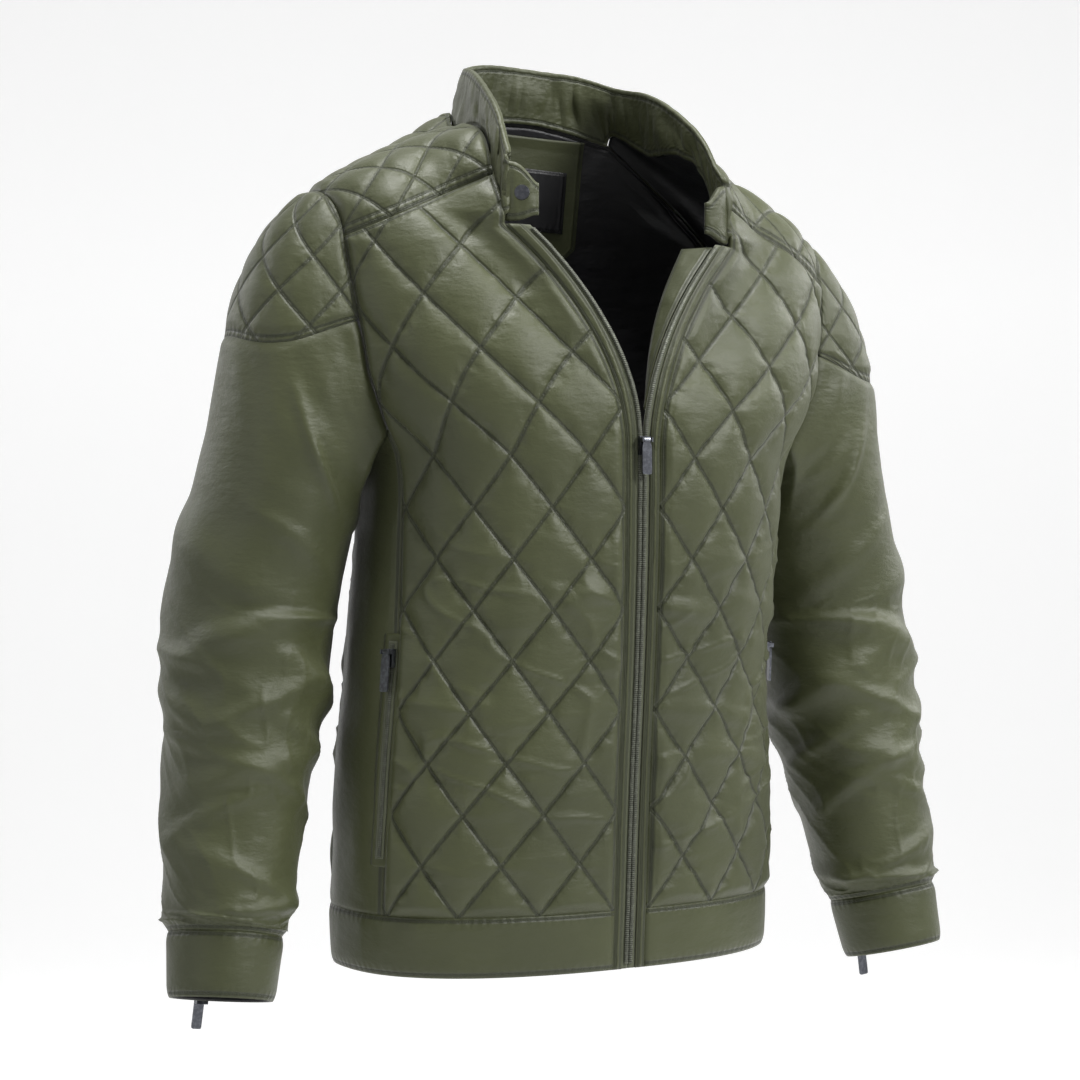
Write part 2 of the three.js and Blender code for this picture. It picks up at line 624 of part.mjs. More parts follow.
// Solid from a closed geometry, and back
const wasm = await Module();
wasm.setup();
function solid(geometry) {
  const bare = geometry.index ? geometry.toNonIndexed() : geometry;
  const only = new THREE.BufferGeometry().setAttribute("position", bare.getAttribute("position"));
  const merged = mergeVertices(only, 1e-3);
  const vertProperties = merged.attributes.position.array;
  const triVerts = new Uint32Array(merged.index.array);
  return new wasm.Manifold(new wasm.Mesh({ numProp: 3, vertProperties, triVerts }));
}
function geometryOf(made) {
  const mesh = made.getMesh();
  const geometry = new THREE.BufferGeometry();
  geometry.setAttribute("position", new THREE.BufferAttribute(mesh.vertProperties, 3));
  return geometry.setIndex(new THREE.BufferAttribute(mesh.triVerts, 1));
}
const block = (x, y, z, at) => solid(new THREE.BoxGeometry(x, y, z).translate(...at));
const rod = (radius, length, at) =>
  solid(new THREE.CylinderGeometry(radius, radius, length, 8).rotateZ(Math.PI / 2).translate(...at));

// A zip slider with two ears and a pin, in its own frame: outwards is -Y
const pinOut = -6.2;
const pinUp = 4.5;
const sliderSolid = block(9, 4, 14, [0, -2, 0])
  .add(block(1.2, 4.6, 3.4, [3.8, -5.9, pinUp]))
  .add(block(1.2, 4.6, 3.4, [-3.8, -5.9, pinUp]))
  .add(rod(0.6, 7.6, [0, pinOut, pinUp]));
// Its pull tab, a framed plate that swings on the pin
function pullSolid(length) {
  const plate = new THREE.Shape();
  const [half, low] = [3.9, pinUp - length];
  plate.moveTo(-2.6, pinUp);
  plate.lineTo(-half, pinUp - 6);
  plate.lineTo(-half, low + 1.5);
  plate.quadraticCurveTo(-half, low, -half + 1.5, low);
  plate.lineTo(half - 1.5, low);
  plate.quadraticCurveTo(half, low, half, low + 1.5);
  plate.lineTo(half, pinUp - 6);
  plate.lineTo(2.6, pinUp);
  const sheet = new THREE.ExtrudeGeometry(plate, { depth: 1.4, bevelEnabled: false, curveSegments: 2 });
  sheet.rotateX(Math.PI / 2).translate(0, pinOut + 0.7, 0);
  return solid(sheet).add(rod(1.7, 5.2, [0, pinOut, pinUp])).subtract(rod(0.95, 9, [0, pinOut, pinUp]));
}
function addZipHead(name, surface, u, v, lift, length) {
  const point = shifted(surface, lift)(u, v);
  const outward = point.clone().sub(surface(u, v)).normalize();
  const up = surface(u, v + 0.01).sub(surface(u, v)).normalize();
  const head = new THREE.Group();
  const across = new THREE.Vector3().crossVectors(up, outward).normalize();
  up.crossVectors(outward, across);
  head.matrix.makeBasis(across, outward.negate(), up).setPosition(point);
  head.matrixAutoUpdate = false;
  const body = new THREE.Mesh(geometryOf(sliderSolid), darkMetal);
  body.name = `${name}_slider`;
  // The tab hangs straight down from its pin, or lies on the slider where it leans inwards
  const swing = Math.max(Math.atan2(outward.z, up.z), 0);
  const tab = geometryOf(pullSolid(length)).translate(0, -pinOut, -pinUp).rotateX(-swing);
  const pull = new THREE.Mesh(tab.translate(0, pinOut, pinUp), darkMetal);
  pull.name = `${name}_pull`;
  head.add(body, pull);
  jacket.add(head);
}
const zipFace = weltSurface(-8, 8, sliderZ + 40, sliderZ - 40);
addZipHead("front", hung(zipFace), 0.5, 0.53, 0.8, 26);
for (const side of [1, -1]) {
  const name = side > 0 ? "left" : "right";
  const onSide = (surface) => (side > 0 ? surface : (u, v) => mirrored(surface)(1 - u, v));
  addZipHead(`pocket_${name}`, hung(onSide(pocketZip)), 0.5, 0.92, 4.2, 30);
  addZipHead(`cuff_${name}`, tilted(onSide(cuffZip)), 0.5, 0.12, 2.4, 30);
}

// Press stud halves on the collar's tabs
function addStud(name, w, outside) {
  const u = (w + 1) / 2;
  const distance = outside ? 1.7 : -collarWall - 1.9;
  const at = shifted(tilted(collarSurface), -distance)(u, 0.5);
  const normal = at.clone().sub(tilt(collarSurface(u, 0.5))).normalize();
  const disc = new THREE.CylinderGeometry(5.5, 6, 1.2, 20);
  const mesh = new THREE.Mesh(disc, darkMetal);
  mesh.position.copy(at.addScaledVector(normal, 0.4));
  mesh.quaternion.setFromUnitVectors(V(0, 1, 0), normal);
  mesh.name = name;
  jacket.add(mesh);
}
addStud("stud_left", 0.93, false);
addStud("stud_right", -0.93, true);

export default jacket;
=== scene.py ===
# A quilted stand-collar jacket, hollow and filled out: fine cloth, zips and looks.
import math
import bpy
import numpy as np
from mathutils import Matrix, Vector


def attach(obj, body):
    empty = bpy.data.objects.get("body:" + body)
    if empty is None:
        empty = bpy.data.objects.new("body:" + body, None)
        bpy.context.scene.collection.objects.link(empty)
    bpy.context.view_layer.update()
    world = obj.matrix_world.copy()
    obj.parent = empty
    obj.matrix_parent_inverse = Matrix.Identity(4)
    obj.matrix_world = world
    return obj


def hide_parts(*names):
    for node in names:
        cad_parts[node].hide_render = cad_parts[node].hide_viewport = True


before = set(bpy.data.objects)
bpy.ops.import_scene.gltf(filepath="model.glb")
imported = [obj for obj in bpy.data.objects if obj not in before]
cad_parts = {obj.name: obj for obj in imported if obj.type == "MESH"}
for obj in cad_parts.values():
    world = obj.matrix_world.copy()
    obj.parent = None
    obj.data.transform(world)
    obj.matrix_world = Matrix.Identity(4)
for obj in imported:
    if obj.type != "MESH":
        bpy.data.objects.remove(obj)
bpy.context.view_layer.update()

# Sizes in millimetres, the same as the construction's
body = dict(hemTop=-606, hemEdge=-651, sliderZ=-258, zipTopZ=-94, zipHalf=6, placketWidth=8,
            frontNeckX=96, backNeckZ=20, collarHeight=46, sideSeam=71, backSeam=115,
            armholeCorner=-245, armholeDip=17, ringPower=2.4, shellWall=2.6, sleeveWall=2.2,
            trimWall=1.4, collarWall=3.4)
hanging = dict(shift=-13, twist=7, tilt=0.048)
quilting = dict(wide=58, tall=76, puff=4.4, yokeWide=44, yokeTall=50, yokePuff=3.0,
                capWide=42, capTall=50, capPuff=2.6, capRadius=70)
grid = dict(spacing=2.9)

bodyRings = np.array([  # height, half width, front depth, back depth
    (-660, 181, 114, 100), (-606, 183, 117, 101), (-500, 178, 123, 97), (-400, 171, 131, 97),
    (-300, 168, 139, 103), (-262, 171, 140, 107), (-235, 186, 139, 109), (-205, 202, 135, 111),
    (-160, 213, 124, 111), (-110, 218, 107, 107), (-72, 215, 86, 100), (-42, 168, 64, 94),
    (0, 122, 50, 86), (24, 112, 44, 78)], float)
sleeveRings = np.array([  # centre x, y, z, half width side to side, half width front to back
    (237, 25, -306, 61, 75), (253, 31, -376, 63, 73), (262, 18, -446, 58, 66),
    (272, 8, -520, 51, 58), (283, -10, -600, 45, 49), (286, -14, -621, 42, 46),
    (292, -23, -668, 38, 43)], float)

rad = math.pi / 180


def stack(*parts):
    return np.stack(np.broadcast_arrays(*parts), axis=-1).astype(float)


def lerp(a, b, t):
    return a + (b - a) * t


def smooth(t):
    t = np.clip(t, 0, 1)
    return t * t * (3 - 2 * t)


def unit(v):
    return v / np.maximum(np.linalg.norm(v, axis=-1, keepdims=True), 1e-9)


def rowAt(table, k):
    last = len(table) - 1
    i = np.clip(np.floor(k).astype(int), 0, last - 1)
    t = (k - i)[..., None]
    a, b, c, d = (table[np.clip(i + n, 0, last)] for n in (-1, 0, 1, 2))
    m, n = (c - a) / 2, (d - b) / 2
    t2, t3 = t * t, t * t * t
    return (2 * t3 - 3 * t2 + 1) * b + (t3 - 2 * t2 + t) * m + (3 * t2 - 2 * t3) * c + (t3 - t2) * n


def ringAt(z):
    z = np.asarray(z, float)
    heights = bodyRings[:, 0]
    i = np.clip(np.searchsorted(heights, z, side="left") - 1, 0, len(heights) - 2)
    s = np.clip((z - heights[i]) / (heights[i + 1] - heights[i]), 0, 1)
    return rowAt(bodyRings[:, 1:], i + s)


def torso(theta, z):
    theta, z = np.broadcast_arrays(np.asarray(theta, float), np.asarray(z, float))
    half, front, back = np.moveaxis(ringAt(z), -1, 0)
    s, c = np.sin(theta * rad), np.cos(theta * rad)
    power = 2 / body["ringPower"]
    bend = lambda v: np.sign(v) * np.abs(v) ** power
    return stack(half * bend(s), -np.where(c > 0, front, back) * bend(c), z)


def thetaAt(x, z, onBack=False):
    x, z = np.broadcast_arrays(np.asarray(x, float), np.asarray(z, float))
    share = np.clip(np.abs(x) / ringAt(z)[..., 0], 0, 1) ** (body["ringPower"] / 2)
    angle = np.arcsin(share) / rad
    return 180 - angle if onBack else angle


def openShare(z):
    return np.clip((z - body["sliderZ"]) / (body["zipTopZ"] - body["sliderZ"]), 0, 1.05)


def teethX(z):
    return 0.3 + 78 * openShare(z) ** 2


def quiltEdgeX(z):
    return teethX(z) + body["zipHalf"] + body["placketWidth"] + 4 * openShare(z)


def zipSide(z):
    return teethX(z) + body["zipHalf"]


def openFront(p, x):
    share = openShare(p[..., 2])
    away = x - teethX(p[..., 2])
    lift = 15 * share * np.exp(-((away / 26) ** 2))
    valley = 7 * share * np.exp(-(((away - 48) / 22) ** 2))
    return p + stack(0, valley - lift, 0)


def frontPoint(theta, z):
    p = torso(theta, z)
    return openFront(p, p[..., 0])


def tiltShoulders(p):
    down = hanging["tilt"] * p[..., 0] * smooth((p[..., 2] + 320) / 220)
    return p - stack(0, 0, down)


def hang(p):
    p = tiltShoulders(p)
    share = smooth((body["armholeCorner"] - body["armholeDip"] - p[..., 2]) / 200)
    turn = hanging["twist"] * share * rad
    c, s = np.cos(turn), np.sin(turn)
    x, y, z = np.moveaxis(p, -1, 0)
    return stack(x * c - y * s + hanging["shift"] * share, x * s + y * c, z)


def onSide(surface, side, place):
    return lambda u, v: place(surface(u, v) * (side, 1, 1))


# Soft noise on a seeded lattice, about -1 to 1
def softNoise(x, y, seed):
    table = np.random.default_rng(seed).uniform(-1, 1, (64, 64))
    x, y = np.broadcast_arrays(x, y)
    i, j = np.floor(x).astype(int), np.floor(y).astype(int)
    fx, fy = smooth(x - i), smooth(y - j)
    at = lambda a, b: table[(i + a) % 64, (j + b) % 64]
    return lerp(lerp(at(0, 0), at(1, 0), fx), lerp(at(0, 1), at(1, 1), fx), fy)


# Seams of the construction
yokeFront = ((body["frontNeckX"], -54), (204, -108))
yokeBack = ((72, 8), (204, -100))


def yokeSeam(ends, p, onBack):
    z = lerp(ends[0][1], ends[1][1], p)
    return thetaAt(lerp(ends[0][0], ends[1][0], p), z, onBack), z


def yokeSeamFront(p):
    return yokeSeam(yokeFront, p, False)


def yokeSeamBack(p):
    return yokeSeam(yokeBack, p, True)


def armholeSide(v, start, end):
    z = lerp(body["armholeCorner"], end[1], v)
    return lerp(start, end[0], v) + np.sign(start - 90) * 3 * np.sin(np.pi * v), z


def underarm(theta):
    share = (theta - body["sideSeam"]) / (body["backSeam"] - body["sideSeam"])
    return body["armholeCorner"] - body["armholeDip"] * np.sin(np.pi * share)


def pick(test, yes, no):
    return tuple(np.where(test, a, b) for a, b in zip(yes, no))


def coons(left, right, bottom, top):
    corner = [[float(k) for k in c] for c in (bottom(0.0), bottom(1.0), top(0.0), top(1.0))]

    def cut(u, v):
        found = []
        for i in (0, 1):
            rows = lerp(bottom(u)[i], top(u)[i], v)
            columns = lerp(left(v)[i], right(v)[i], u)
            flat = lerp(lerp(corner[0][i], corner[1][i], u), lerp(corner[2][i], corner[3][i], u), v)
            found.append(rows + columns - flat)
        return found
    return cut


sideShare, kink = 0.633, 1 - 3 / 25


def panelSide(seam, top):
    def side(v):
        low = (seam + 0 * v, lerp(body["hemTop"], body["armholeCorner"], v / sideShare))
        return pick(v < sideShare, low, armholeSide((v - sideShare) / (1 - sideShare), seam, top))
    return side


def frontEdge(v):
    v = np.asarray(v, float)
    up = (v - kink) / (1 - kink)
    z = np.where(up < 0, lerp(body["hemTop"], body["zipTopZ"], v / kink),
                 lerp(body["zipTopZ"], yokeFront[0][1], up))
    x = np.where(up < 0, quiltEdgeX(z), lerp(quiltEdgeX(body["zipTopZ"]), body["frontNeckX"], up))
    return thetaAt(x, z), z


def frontBottom(u):
    return lerp(frontEdge(0.0)[0], body["sideSeam"], u), body["hemTop"] + 0 * np.asarray(u, float)


frontCut = coons(frontEdge, panelSide(body["sideSeam"], yokeSeamFront(1.0)), frontBottom, yokeSeamFront)
backNeckShare = 3 / 15


def backTopHalf(u):
    seam = yokeSeamBack(1 - u / (1 - backNeckShare))
    t = np.clip((u - 1 + backNeckShare) / backNeckShare, 0, 1)
    z = lerp(yokeBack[0][1], body["backNeckZ"], np.sin(t * np.pi / 2))
    return pick(u < 1 - backNeckShare, seam, (thetaAt(lerp(yokeBack[0][0], 0, t), z, True), z))


def backTop(u):
    u = np.asarray(u, float)
    near, far = backTopHalf(2 * u), backTopHalf(2 - 2 * u)
    return pick(u <= 0.5, near, (360 - far[0], far[1]))


backSide = panelSide(body["backSeam"], yokeSeamBack(1.0))


def backBottom(u):
    return lerp(body["backSeam"], 360 - body["backSeam"], u), body["hemTop"] + 0 * np.asarray(u, float)


backCut = coons(backSide, lambda v: (360 - backSide(v)[0], backSide(v)[1]), backBottom, backTop)


def bezier(a, b, c, d, t):
    t = t[..., None]
    return (1 - t) ** 3 * a + 3 * (1 - t) ** 2 * t * b + 3 * (1 - t) * t * t * c + t ** 3 * d


def yokeSurface(p, q):
    p, q = np.broadcast_arrays(np.clip(p, -0.01, 1.01), np.asarray(q, float))
    front, frontUp = frontPoint(*yokeSeamFront(p)), yokeSeamFront(p)
    frontUp = frontPoint(frontUp[0], frontUp[1] + 4)
    back, backUp = torso(*yokeSeamBack(p)), yokeSeamBack(p)
    backUp = torso(backUp[0], backUp[1] + 4)
    top = stack(lerp(89, 212, p), lerp(8, 4, p), lerp(-6, -69, p) + 6 * np.sin(np.pi * p))
    onFront = (q < 0.5)[..., None]
    seam = np.where(onFront, front, back)
    slope = np.where(onFront, frontUp - front, backUp - back) * (0, 1, 1)
    reach = np.linalg.norm(seam - top, axis=-1, keepdims=True)
    rise = unit(slope) * reach * 0.4
    flat = unit((seam - top) * (0, 1, 0)) * reach * 0.42
    t = np.clip(np.where(q < 0.5, q * 2, (1 - q) * 2), 0, 1)
    return bezier(seam, seam + rise, top + flat, top, t)


def armhole(angle):
    a = np.mod(angle, 360)
    corner, low = 52, 140
    frontV = 1 - (a - corner) / (low - corner)
    backV = (a - 360 + low) / (low - corner)
    theta = lerp(body["sideSeam"], body["backSeam"], (a - low) / (360 - 2 * low))
    found = yokeSurface(1.0, 0.5 + 0.5 * (360 - a) / corner)
    backEdge = torso(*armholeSide(backV, body["backSeam"], yokeSeamBack(1.0)))
    found = np.where((a <= 360 - corner)[..., None], backEdge, found)
    found = np.where((a <= 360 - low)[..., None], torso(theta, underarm(theta)), found)
    frontEdgePoint = frontPoint(*armholeSide(frontV, body["sideSeam"], yokeSeamFront(1.0)))
    found = np.where((a < low)[..., None], frontEdgePoint, found)
    return np.where((a < corner)[..., None], yokeSurface(1.0, 0.5 - 0.5 * a / corner), found)


def sleeveRing(k, angle):
    k, angle = np.broadcast_arrays(np.asarray(k, float), np.asarray(angle, float))
    row = rowAt(sleeveRings, k)
    low = np.maximum(k - 0.1, 0)
    along = unit((rowAt(sleeveRings, low + 0.2) - rowAt(sleeveRings, low))[..., :3])
    ahead = stack(0 * k, -1 + 0 * k, 0 * k)
    ahead = unit(ahead - along * np.sum(ahead * along, axis=-1, keepdims=True))
    out = unit(np.cross(along, ahead))
    out = np.where(out[..., :1] < 0, -out, out)
    return (row[..., :3] + out * (row[..., 3] * np.cos(angle * rad))[..., None]
            + ahead * (row[..., 4] * np.sin(angle * rad))[..., None])


def sleevePoint(angle, t):
    angle, t = np.broadcast_arrays(np.asarray(angle, float), np.asarray(t, float))
    c = np.cos(angle * rad)
    leave = unit(stack(0.85 + 0 * c, 0 * c, lerp(-1.2, -0.6, (c + 1) / 2)))
    start = armhole(angle) + leave * 0.4
    end = sleeveRing(0.0, angle)
    arrive = unit(sleeveRing(0.12, angle) - end)
    reach = np.linalg.norm(start - end, axis=-1, keepdims=True)
    top = bezier(start, start + leave * reach * 0.36, end - arrive * reach * 0.36, end, np.clip(t, 0, 1))
    ring = np.where(t >= 2, 5 + (t - 2), (t - 1) * 5)
    return np.where((t >= 1)[..., None], sleeveRing(ring, angle), top)


def capSeam(angle):
    a = np.abs(np.mod(angle + 180, 360) - 180) / 90
    return np.maximum(0.03 - 0.2 * np.maximum(a - 1, 0), 0) + 0.53 * (1 - np.minimum(a, 1) ** 3)


# Neck seam from the centre back to the end of the front
neckColumns = (3, 8, 3, 2)


def neckHalf(w):
    k = np.clip(w, 0, 1) * sum(neckColumns)
    a, b, c, d = neckColumns
    found = torso(*backTopHalf(1 - backNeckShare * np.minimum(k, a) / a))
    found = np.where((k > a)[..., None], yokeSurface(0.0, 1 - np.clip((k - a) / b, 0, 1)), found)
    front = frontPoint(*frontEdge(1 - (1 - kink) * np.clip((k - a - b) / c, 0, 1)))
    found = np.where((k > a + b)[..., None], front, found)
    zipTop = body["zipTopZ"]
    x = lerp(quiltEdgeX(zipTop), teethX(zipTop) - 6, np.clip((k - a - b - c) / d, 0, 1))
    strip = openFront(torso(thetaAt(x, zipTop), zipTop), x)
    return np.where((k > a + b + c)[..., None], strip, found)


collar = dict(lean=3.1, gathers=2.5, calm=0.16)


def neckAt(w):
    return neckHalf(np.abs(w)) * stack(np.where(w < 0, -1, 1), 1 + 0 * w, 1 + 0 * w)


def collarSurface(u, v):
    w = lerp(-1, 1, u)
    far = np.abs(w)
    base = neckAt(w)
    # The upper edge runs smooth where the seam below it has corners
    calm = collar["calm"] * (1 - smooth((far - 0.62) / 0.26))
    even = sum(neckAt(w + calm * step) for step in np.linspace(-1, 1, 9)) / 9
    base = lerp(base, even, smooth(v * 1.4)[..., None])
    inward = unit((stack(0, -8, 0) - base) * (1, 1, 0))
    foot = 0.12 * smooth((far - 0.9) / 0.1)
    top = 1.04 - 0.06 * smooth(far / 0.3) - 0.34 * smooth((far - 0.86) / 0.14) ** 2
    lean = collar["lean"] + 5 * v * (1 - smooth((far - 0.7) / 0.3))
    lift = lerp(-2.4, 2.6, smooth((far - 0.76) / 0.1))
    # Gathers along the seams, uneven and deepest between them
    gather = softNoise(w * 34, v * 1.5, 5) + 0.6 * softNoise(w * 75, v * 2.5, 6)
    middle = 0.2 + 0.8 * np.sin(np.pi * np.clip(v * 1.1, 0, 1))
    deep = collar["gathers"] * gather * middle * (1 - smooth((far - 0.85) / 0.1))
    rise = lift + body["collarHeight"] * lerp(foot, top, v)
    return base + inward * (lean + deep)[..., None] + stack(0, 0, rise)


# Looks: a shader's sockets as Python values


class Value:
    def __init__(self, look, socket):
        self.look, self.socket = look, socket

    def math(self, operation, *others):
        return self.look.node("ShaderNodeMath", dict(operation=operation), (self, *others))

    def __add__(self, o): return self.math("ADD", o)
    def __radd__(self, o): return self.math("ADD", o)
    def __sub__(self, o): return self.math("SUBTRACT", o)
    def __rsub__(self, o): return self.look.node("ShaderNodeMath", dict(operation="SUBTRACT"), (o, self))
    def __mul__(self, o): return self.math("MULTIPLY", o)
    def __rmul__(self, o): return self.math("MULTIPLY", o)
    def __truediv__(self, o): return self.math("DIVIDE", o)
    def __abs__(self): return self.math("ABSOLUTE")
    def __mod__(self, o): return self.math("FLOORED_MODULO", o)
    def most(self, o): return self.math("MAXIMUM", o)

    # 0 below low, 1 above high, smooth between
    def between(self, low, high):
        settings = dict(interpolation_type="SMOOTHSTEP", clamp=True)
        sockets = {"Value": self, "From Min": low, "From Max": high}
        return self.look.node("ShaderNodeMapRange", settings, sockets)


class Look:
    def __init__(self, name):
        self.material = bpy.data.materials.new(name)
        self.material.use_nodes = True
        self.tree = self.material.node_tree
        self.tree.nodes.clear()
        self.output = self.tree.nodes.new("ShaderNodeOutputMaterial")

    # A node from its type, its settings and the values or links of its sockets
    def node(self, kind, settings=None, sockets=(), out=0):
        made = self.tree.nodes.new(kind)
        for key, value in (settings or {}).items():
            setattr(made, key, value)
        pairs = sockets.items() if isinstance(sockets, dict) else enumerate(sockets)
        for key, value in pairs:
            if isinstance(value, Value):
                self.tree.links.new(value.socket, made.inputs[key])
            elif value is not None:
                made.inputs[key].default_value = value
        return Value(self, made.outputs[out])

    def attribute(self, name):
        return self.node("ShaderNodeAttribute", dict(attribute_name=name), out="Fac")

    def place(self):
        return self.node("ShaderNodeTexCoord", out="Object")

    def stretched(self, vector, scale):
        return self.node("ShaderNodeMapping", None, dict(Vector=vector, Scale=scale))

    def noise(self, vector, scale, detail=2.0, rough=0.5):
        sockets = dict(Vector=vector, Scale=scale, Detail=detail, Roughness=rough)
        return self.node("ShaderNodeTexNoise", None, sockets)

    # Sockets 0, 6 and 7 of a colour mix are its factor and its two colours
    def mixed(self, amount, first, second):
        first, second = (c if isinstance(c, Value) else (*c, 1) for c in (first, second))
        return self.node("ShaderNodeMix", dict(data_type="RGBA"), {0: amount, 6: first, 7: second}, out=2)

    def sine(self, angle):
        return self.node("ShaderNodeMath", dict(operation="SINE"), (angle,))

    def bump(self, height, distance, strength=1.0):
        return self.node("ShaderNodeBump", None, dict(Height=height, Distance=distance, Strength=strength))

    def finish(self, colour, roughness, normal=None, **fixed):
        sockets = {"Base Color": colour, "Roughness": roughness, "Normal": normal}
        sockets.update({key.replace("_", " "): value for key, value in fixed.items()})
        if not isinstance(colour, Value):
            sockets["Base Color"] = (*colour, 1)
        shader = self.node("ShaderNodeBsdfPrincipled", None, sockets)
        self.tree.links.new(shader.socket, self.output.inputs["Surface"])
        return self.material


# One row of stitches in millimetres: thread dashes along a line, and the dent they pull; the dent is a bump
# and also the mask of painted shade in the groove
def stitchRow(distance, along, offset, pitch=2.6):
    near = 1 - abs(distance - offset).between(0.28, 0.6)
    dash = abs((along / pitch) % 1.0 - 0.5)
    thread = near * (1 - dash.between(0.33, 0.43))
    dent = 1 - abs(distance - offset).between(0.2, 2.2)
    return thread, dent


# dark is painted shade: the colour of the shaded stitch and quilting grooves
shell = dict(dark=(0.012, 0.015, 0.005), mid=(0.034, 0.039, 0.0135), light=(0.057, 0.064, 0.024),
             thread=(0.034, 0.039, 0.015), roughness=0.45, sheen=0.08)
lining = dict(dark=(0.002, 0.002, 0.002), mid=(0.004, 0.004, 0.005), light=(0.009, 0.009, 0.011),
              thread=(0.014, 0.014, 0.016), roughness=0.38, sheen=0.03)


# Satin nylon with its weave, crinkle, sewing and quilting, its seam grooves darkened with painted shade.
# rows are (edge, offset) of topstitching.
def clothLook(name, tone, rows=(), quilt=None, crinkle=1.0):
    look = Look(name)
    place = look.place()
    across, up = look.attribute("across"), look.attribute("up")
    patches = look.noise(place, 7.0, 3.0).between(0.32, 0.68)
    small = look.noise(place, 60.0, 4.0, 0.6)
    colour = look.mixed(patches * 0.45 + small * 0.3, tone["mid"], tone["light"])
    weft = abs((up / 0.45) % 1.0 - 0.5)
    warp = abs((across / 0.38) % 1.0 - 0.5)
    weave = weft + warp
    creases = look.noise(look.stretched(place, (1.0, 1.0, 2.2)), 42.0, 3.0, 0.55)
    fine = look.noise(look.stretched(place, (1.0, 1.0, 1.6)), 150.0, 2.0, 0.6)
    height = creases * (1.1 * crinkle) + fine * (0.35 * crinkle) + weave * 0.05
    shade = None
    threads = None
    for edge, offset in rows:
        along = up if edge.startswith("u") else across
        thread, dent = stitchRow(look.attribute("edge" + edge), along, offset)
        pull = 1 - abs(look.attribute("edge" + edge) - offset).between(1.0, 7.0)
        pucker = look.sine(along * 0.9 + small * 9.0)
        height = height - dent * 0.55 + pucker * pull * 0.16
        shade = dent if shade is None else shade.most(dent)
        threads = thread if threads is None else threads.most(thread)
    if quilt:
        wide, tall, start = quilt
        slope = math.hypot(1 / wide, 1 / tall)
        round_, rise = look.attribute("round"), look.attribute("rise")
        for sign in (1, -1):
            line = (round_ - start) / wide + rise * (sign / tall)
            distance = (0.5 - abs(line % 1.0 - 0.5)) / slope
            along = ((round_ - start) / wide - rise * (sign / tall)) * (0.5 / slope)
            thread, dent = stitchRow(distance, along, 0.0, 3.0)
            pull = 1 - distance.between(1.0, 11.0)
            pucker = look.sine(along * 0.75 + small * 12.0)
            height = height - dent * 0.8 + pucker * pull * 0.22
            shade = dent if shade is None else shade.most(dent)
            threads = thread if threads is None else threads.most(thread)
    rough = tone["roughness"] + small * 0.12 - patches * 0.04
    if shade is not None:
        # Painted shade: the colour darkens towards the dark tone in the stitch and quilting grooves
        colour = look.mixed(shade * 0.85, colour, tone["dark"])
        colour = look.mixed(threads * 0.6, colour, tone["thread"])
        height = height + threads * 0.25
        rough = rough + threads * 0.2
    normal = look.bump(height, 0.001, 0.85)
    return look.finish(colour, rough, normal, Sheen_Weight=tone["sheen"], Sheen_Roughness=0.45,
                       Specular_IOR_Level=0.42)


def metalLook(name, colour, roughness, metallic=1.0):
    look = Look(name)
    place = look.place()
    rub = look.noise(place, 400.0, 3.0).between(0.4, 0.7)
    cloud = look.noise(place, 90.0, 2.0)
    scratches = look.noise(look.stretched(place, (1.0, 1.0, 9.0)), 300.0, 2.0)
    tint = look.mixed(rub * 0.5, colour, tuple(min(c * 2.2, 1) for c in colour))
    return look.finish(tint, roughness + cloud * 0.18, look.bump(scratches, 0.0001, 0.4), Metallic=metallic)


def tapeLook(name):
    look = Look(name)
    across, up = look.attribute("across"), look.attribute("up")
    ribs = abs((up / 0.8) % 1.0 - 0.5)
    twill = abs((across / 0.9 + up / 1.1) % 1.0 - 0.5)
    tint = look.mixed(ribs + twill * 0.6, (0.040, 0.046, 0.022), (0.094, 0.104, 0.056))
    return look.finish(tint, 0.7 + ribs * 0.1, look.bump(ribs + twill * 0.5, 0.0003, 0.8), Sheen_Weight=0.2)


looks = dict(
    quilted=clothLook("quiltedNylon", shell, (("U0", 2.4), ("U1", 2.4), ("V1", 2.4)),
                      (quilting["wide"], quilting["tall"], body["zipHalf"] + body["placketWidth"]), 0.9),
    yoke=clothLook("yokeNylon", shell, (("V0", 2.2), ("V0", 7.0), ("V1", 2.2), ("V1", 7.0), ("U1", 2.2)),
                   (quilting["yokeWide"], quilting["yokeTall"], 0), 0.8),
    cap=clothLook("capNylon", shell, (("V0", 2.2), ("V0", 7.0), ("V1", 2.4)),
                  (quilting["capWide"], quilting["capTall"], 0), 0.8),
    plain=clothLook("plainNylon", shell, (("U0", 2.4), ("U1", 2.4)), None, 1.0),
    sleeve=clothLook("sleeveNylon", shell, (("V1", 2.6),), None, 1.15),
    cuff=clothLook("cuffNylon", shell, (("V0", 2.6), ("V1", 3.0)), None, 0.9),
    hem=clothLook("hemNylon", shell, (("V0", 3.0), ("V1", 2.4)), None, 0.9),
    trim=clothLook("trimNylon", shell, (("U0", 1.8), ("U1", 1.8)), None, 0.7),
    collar=clothLook("collarNylon", shell, (("V0", 4.0), ("V1", 4.5)), None, 1.2),
    patch=clothLook("patchNylon", shell, (("U0", 2.2), ("U1", 2.2), ("V0", 2.2)), None, 0.7),
    lining=clothLook("blackLining", lining, (), None, 1.2),
    label=clothLook("plainLabel", lining, (("U0", 1.2), ("U1", 1.2), ("V0", 1.2), ("V1", 1.2)), None, 0.2),
    tape=tapeLook("zipTape"),
    teeth=metalLook("coilTeeth", (0.085, 0.09, 0.07), 0.40, 0.35),
    metal=metalLook("darkMetal", (0.11, 0.115, 0.13), 0.24),
)
print("looks made")


# Cloth as a thin shell on its surface: surface(u, v) in millimetres, outer side raised
def gridNormals(points, closed):
    if closed:
        du = np.roll(points, -1, 0) - np.roll(points, 1, 0)
    else:
        du = np.gradient(points, axis=0)
    return unit(np.cross(du, np.gradient(points, axis=1)))


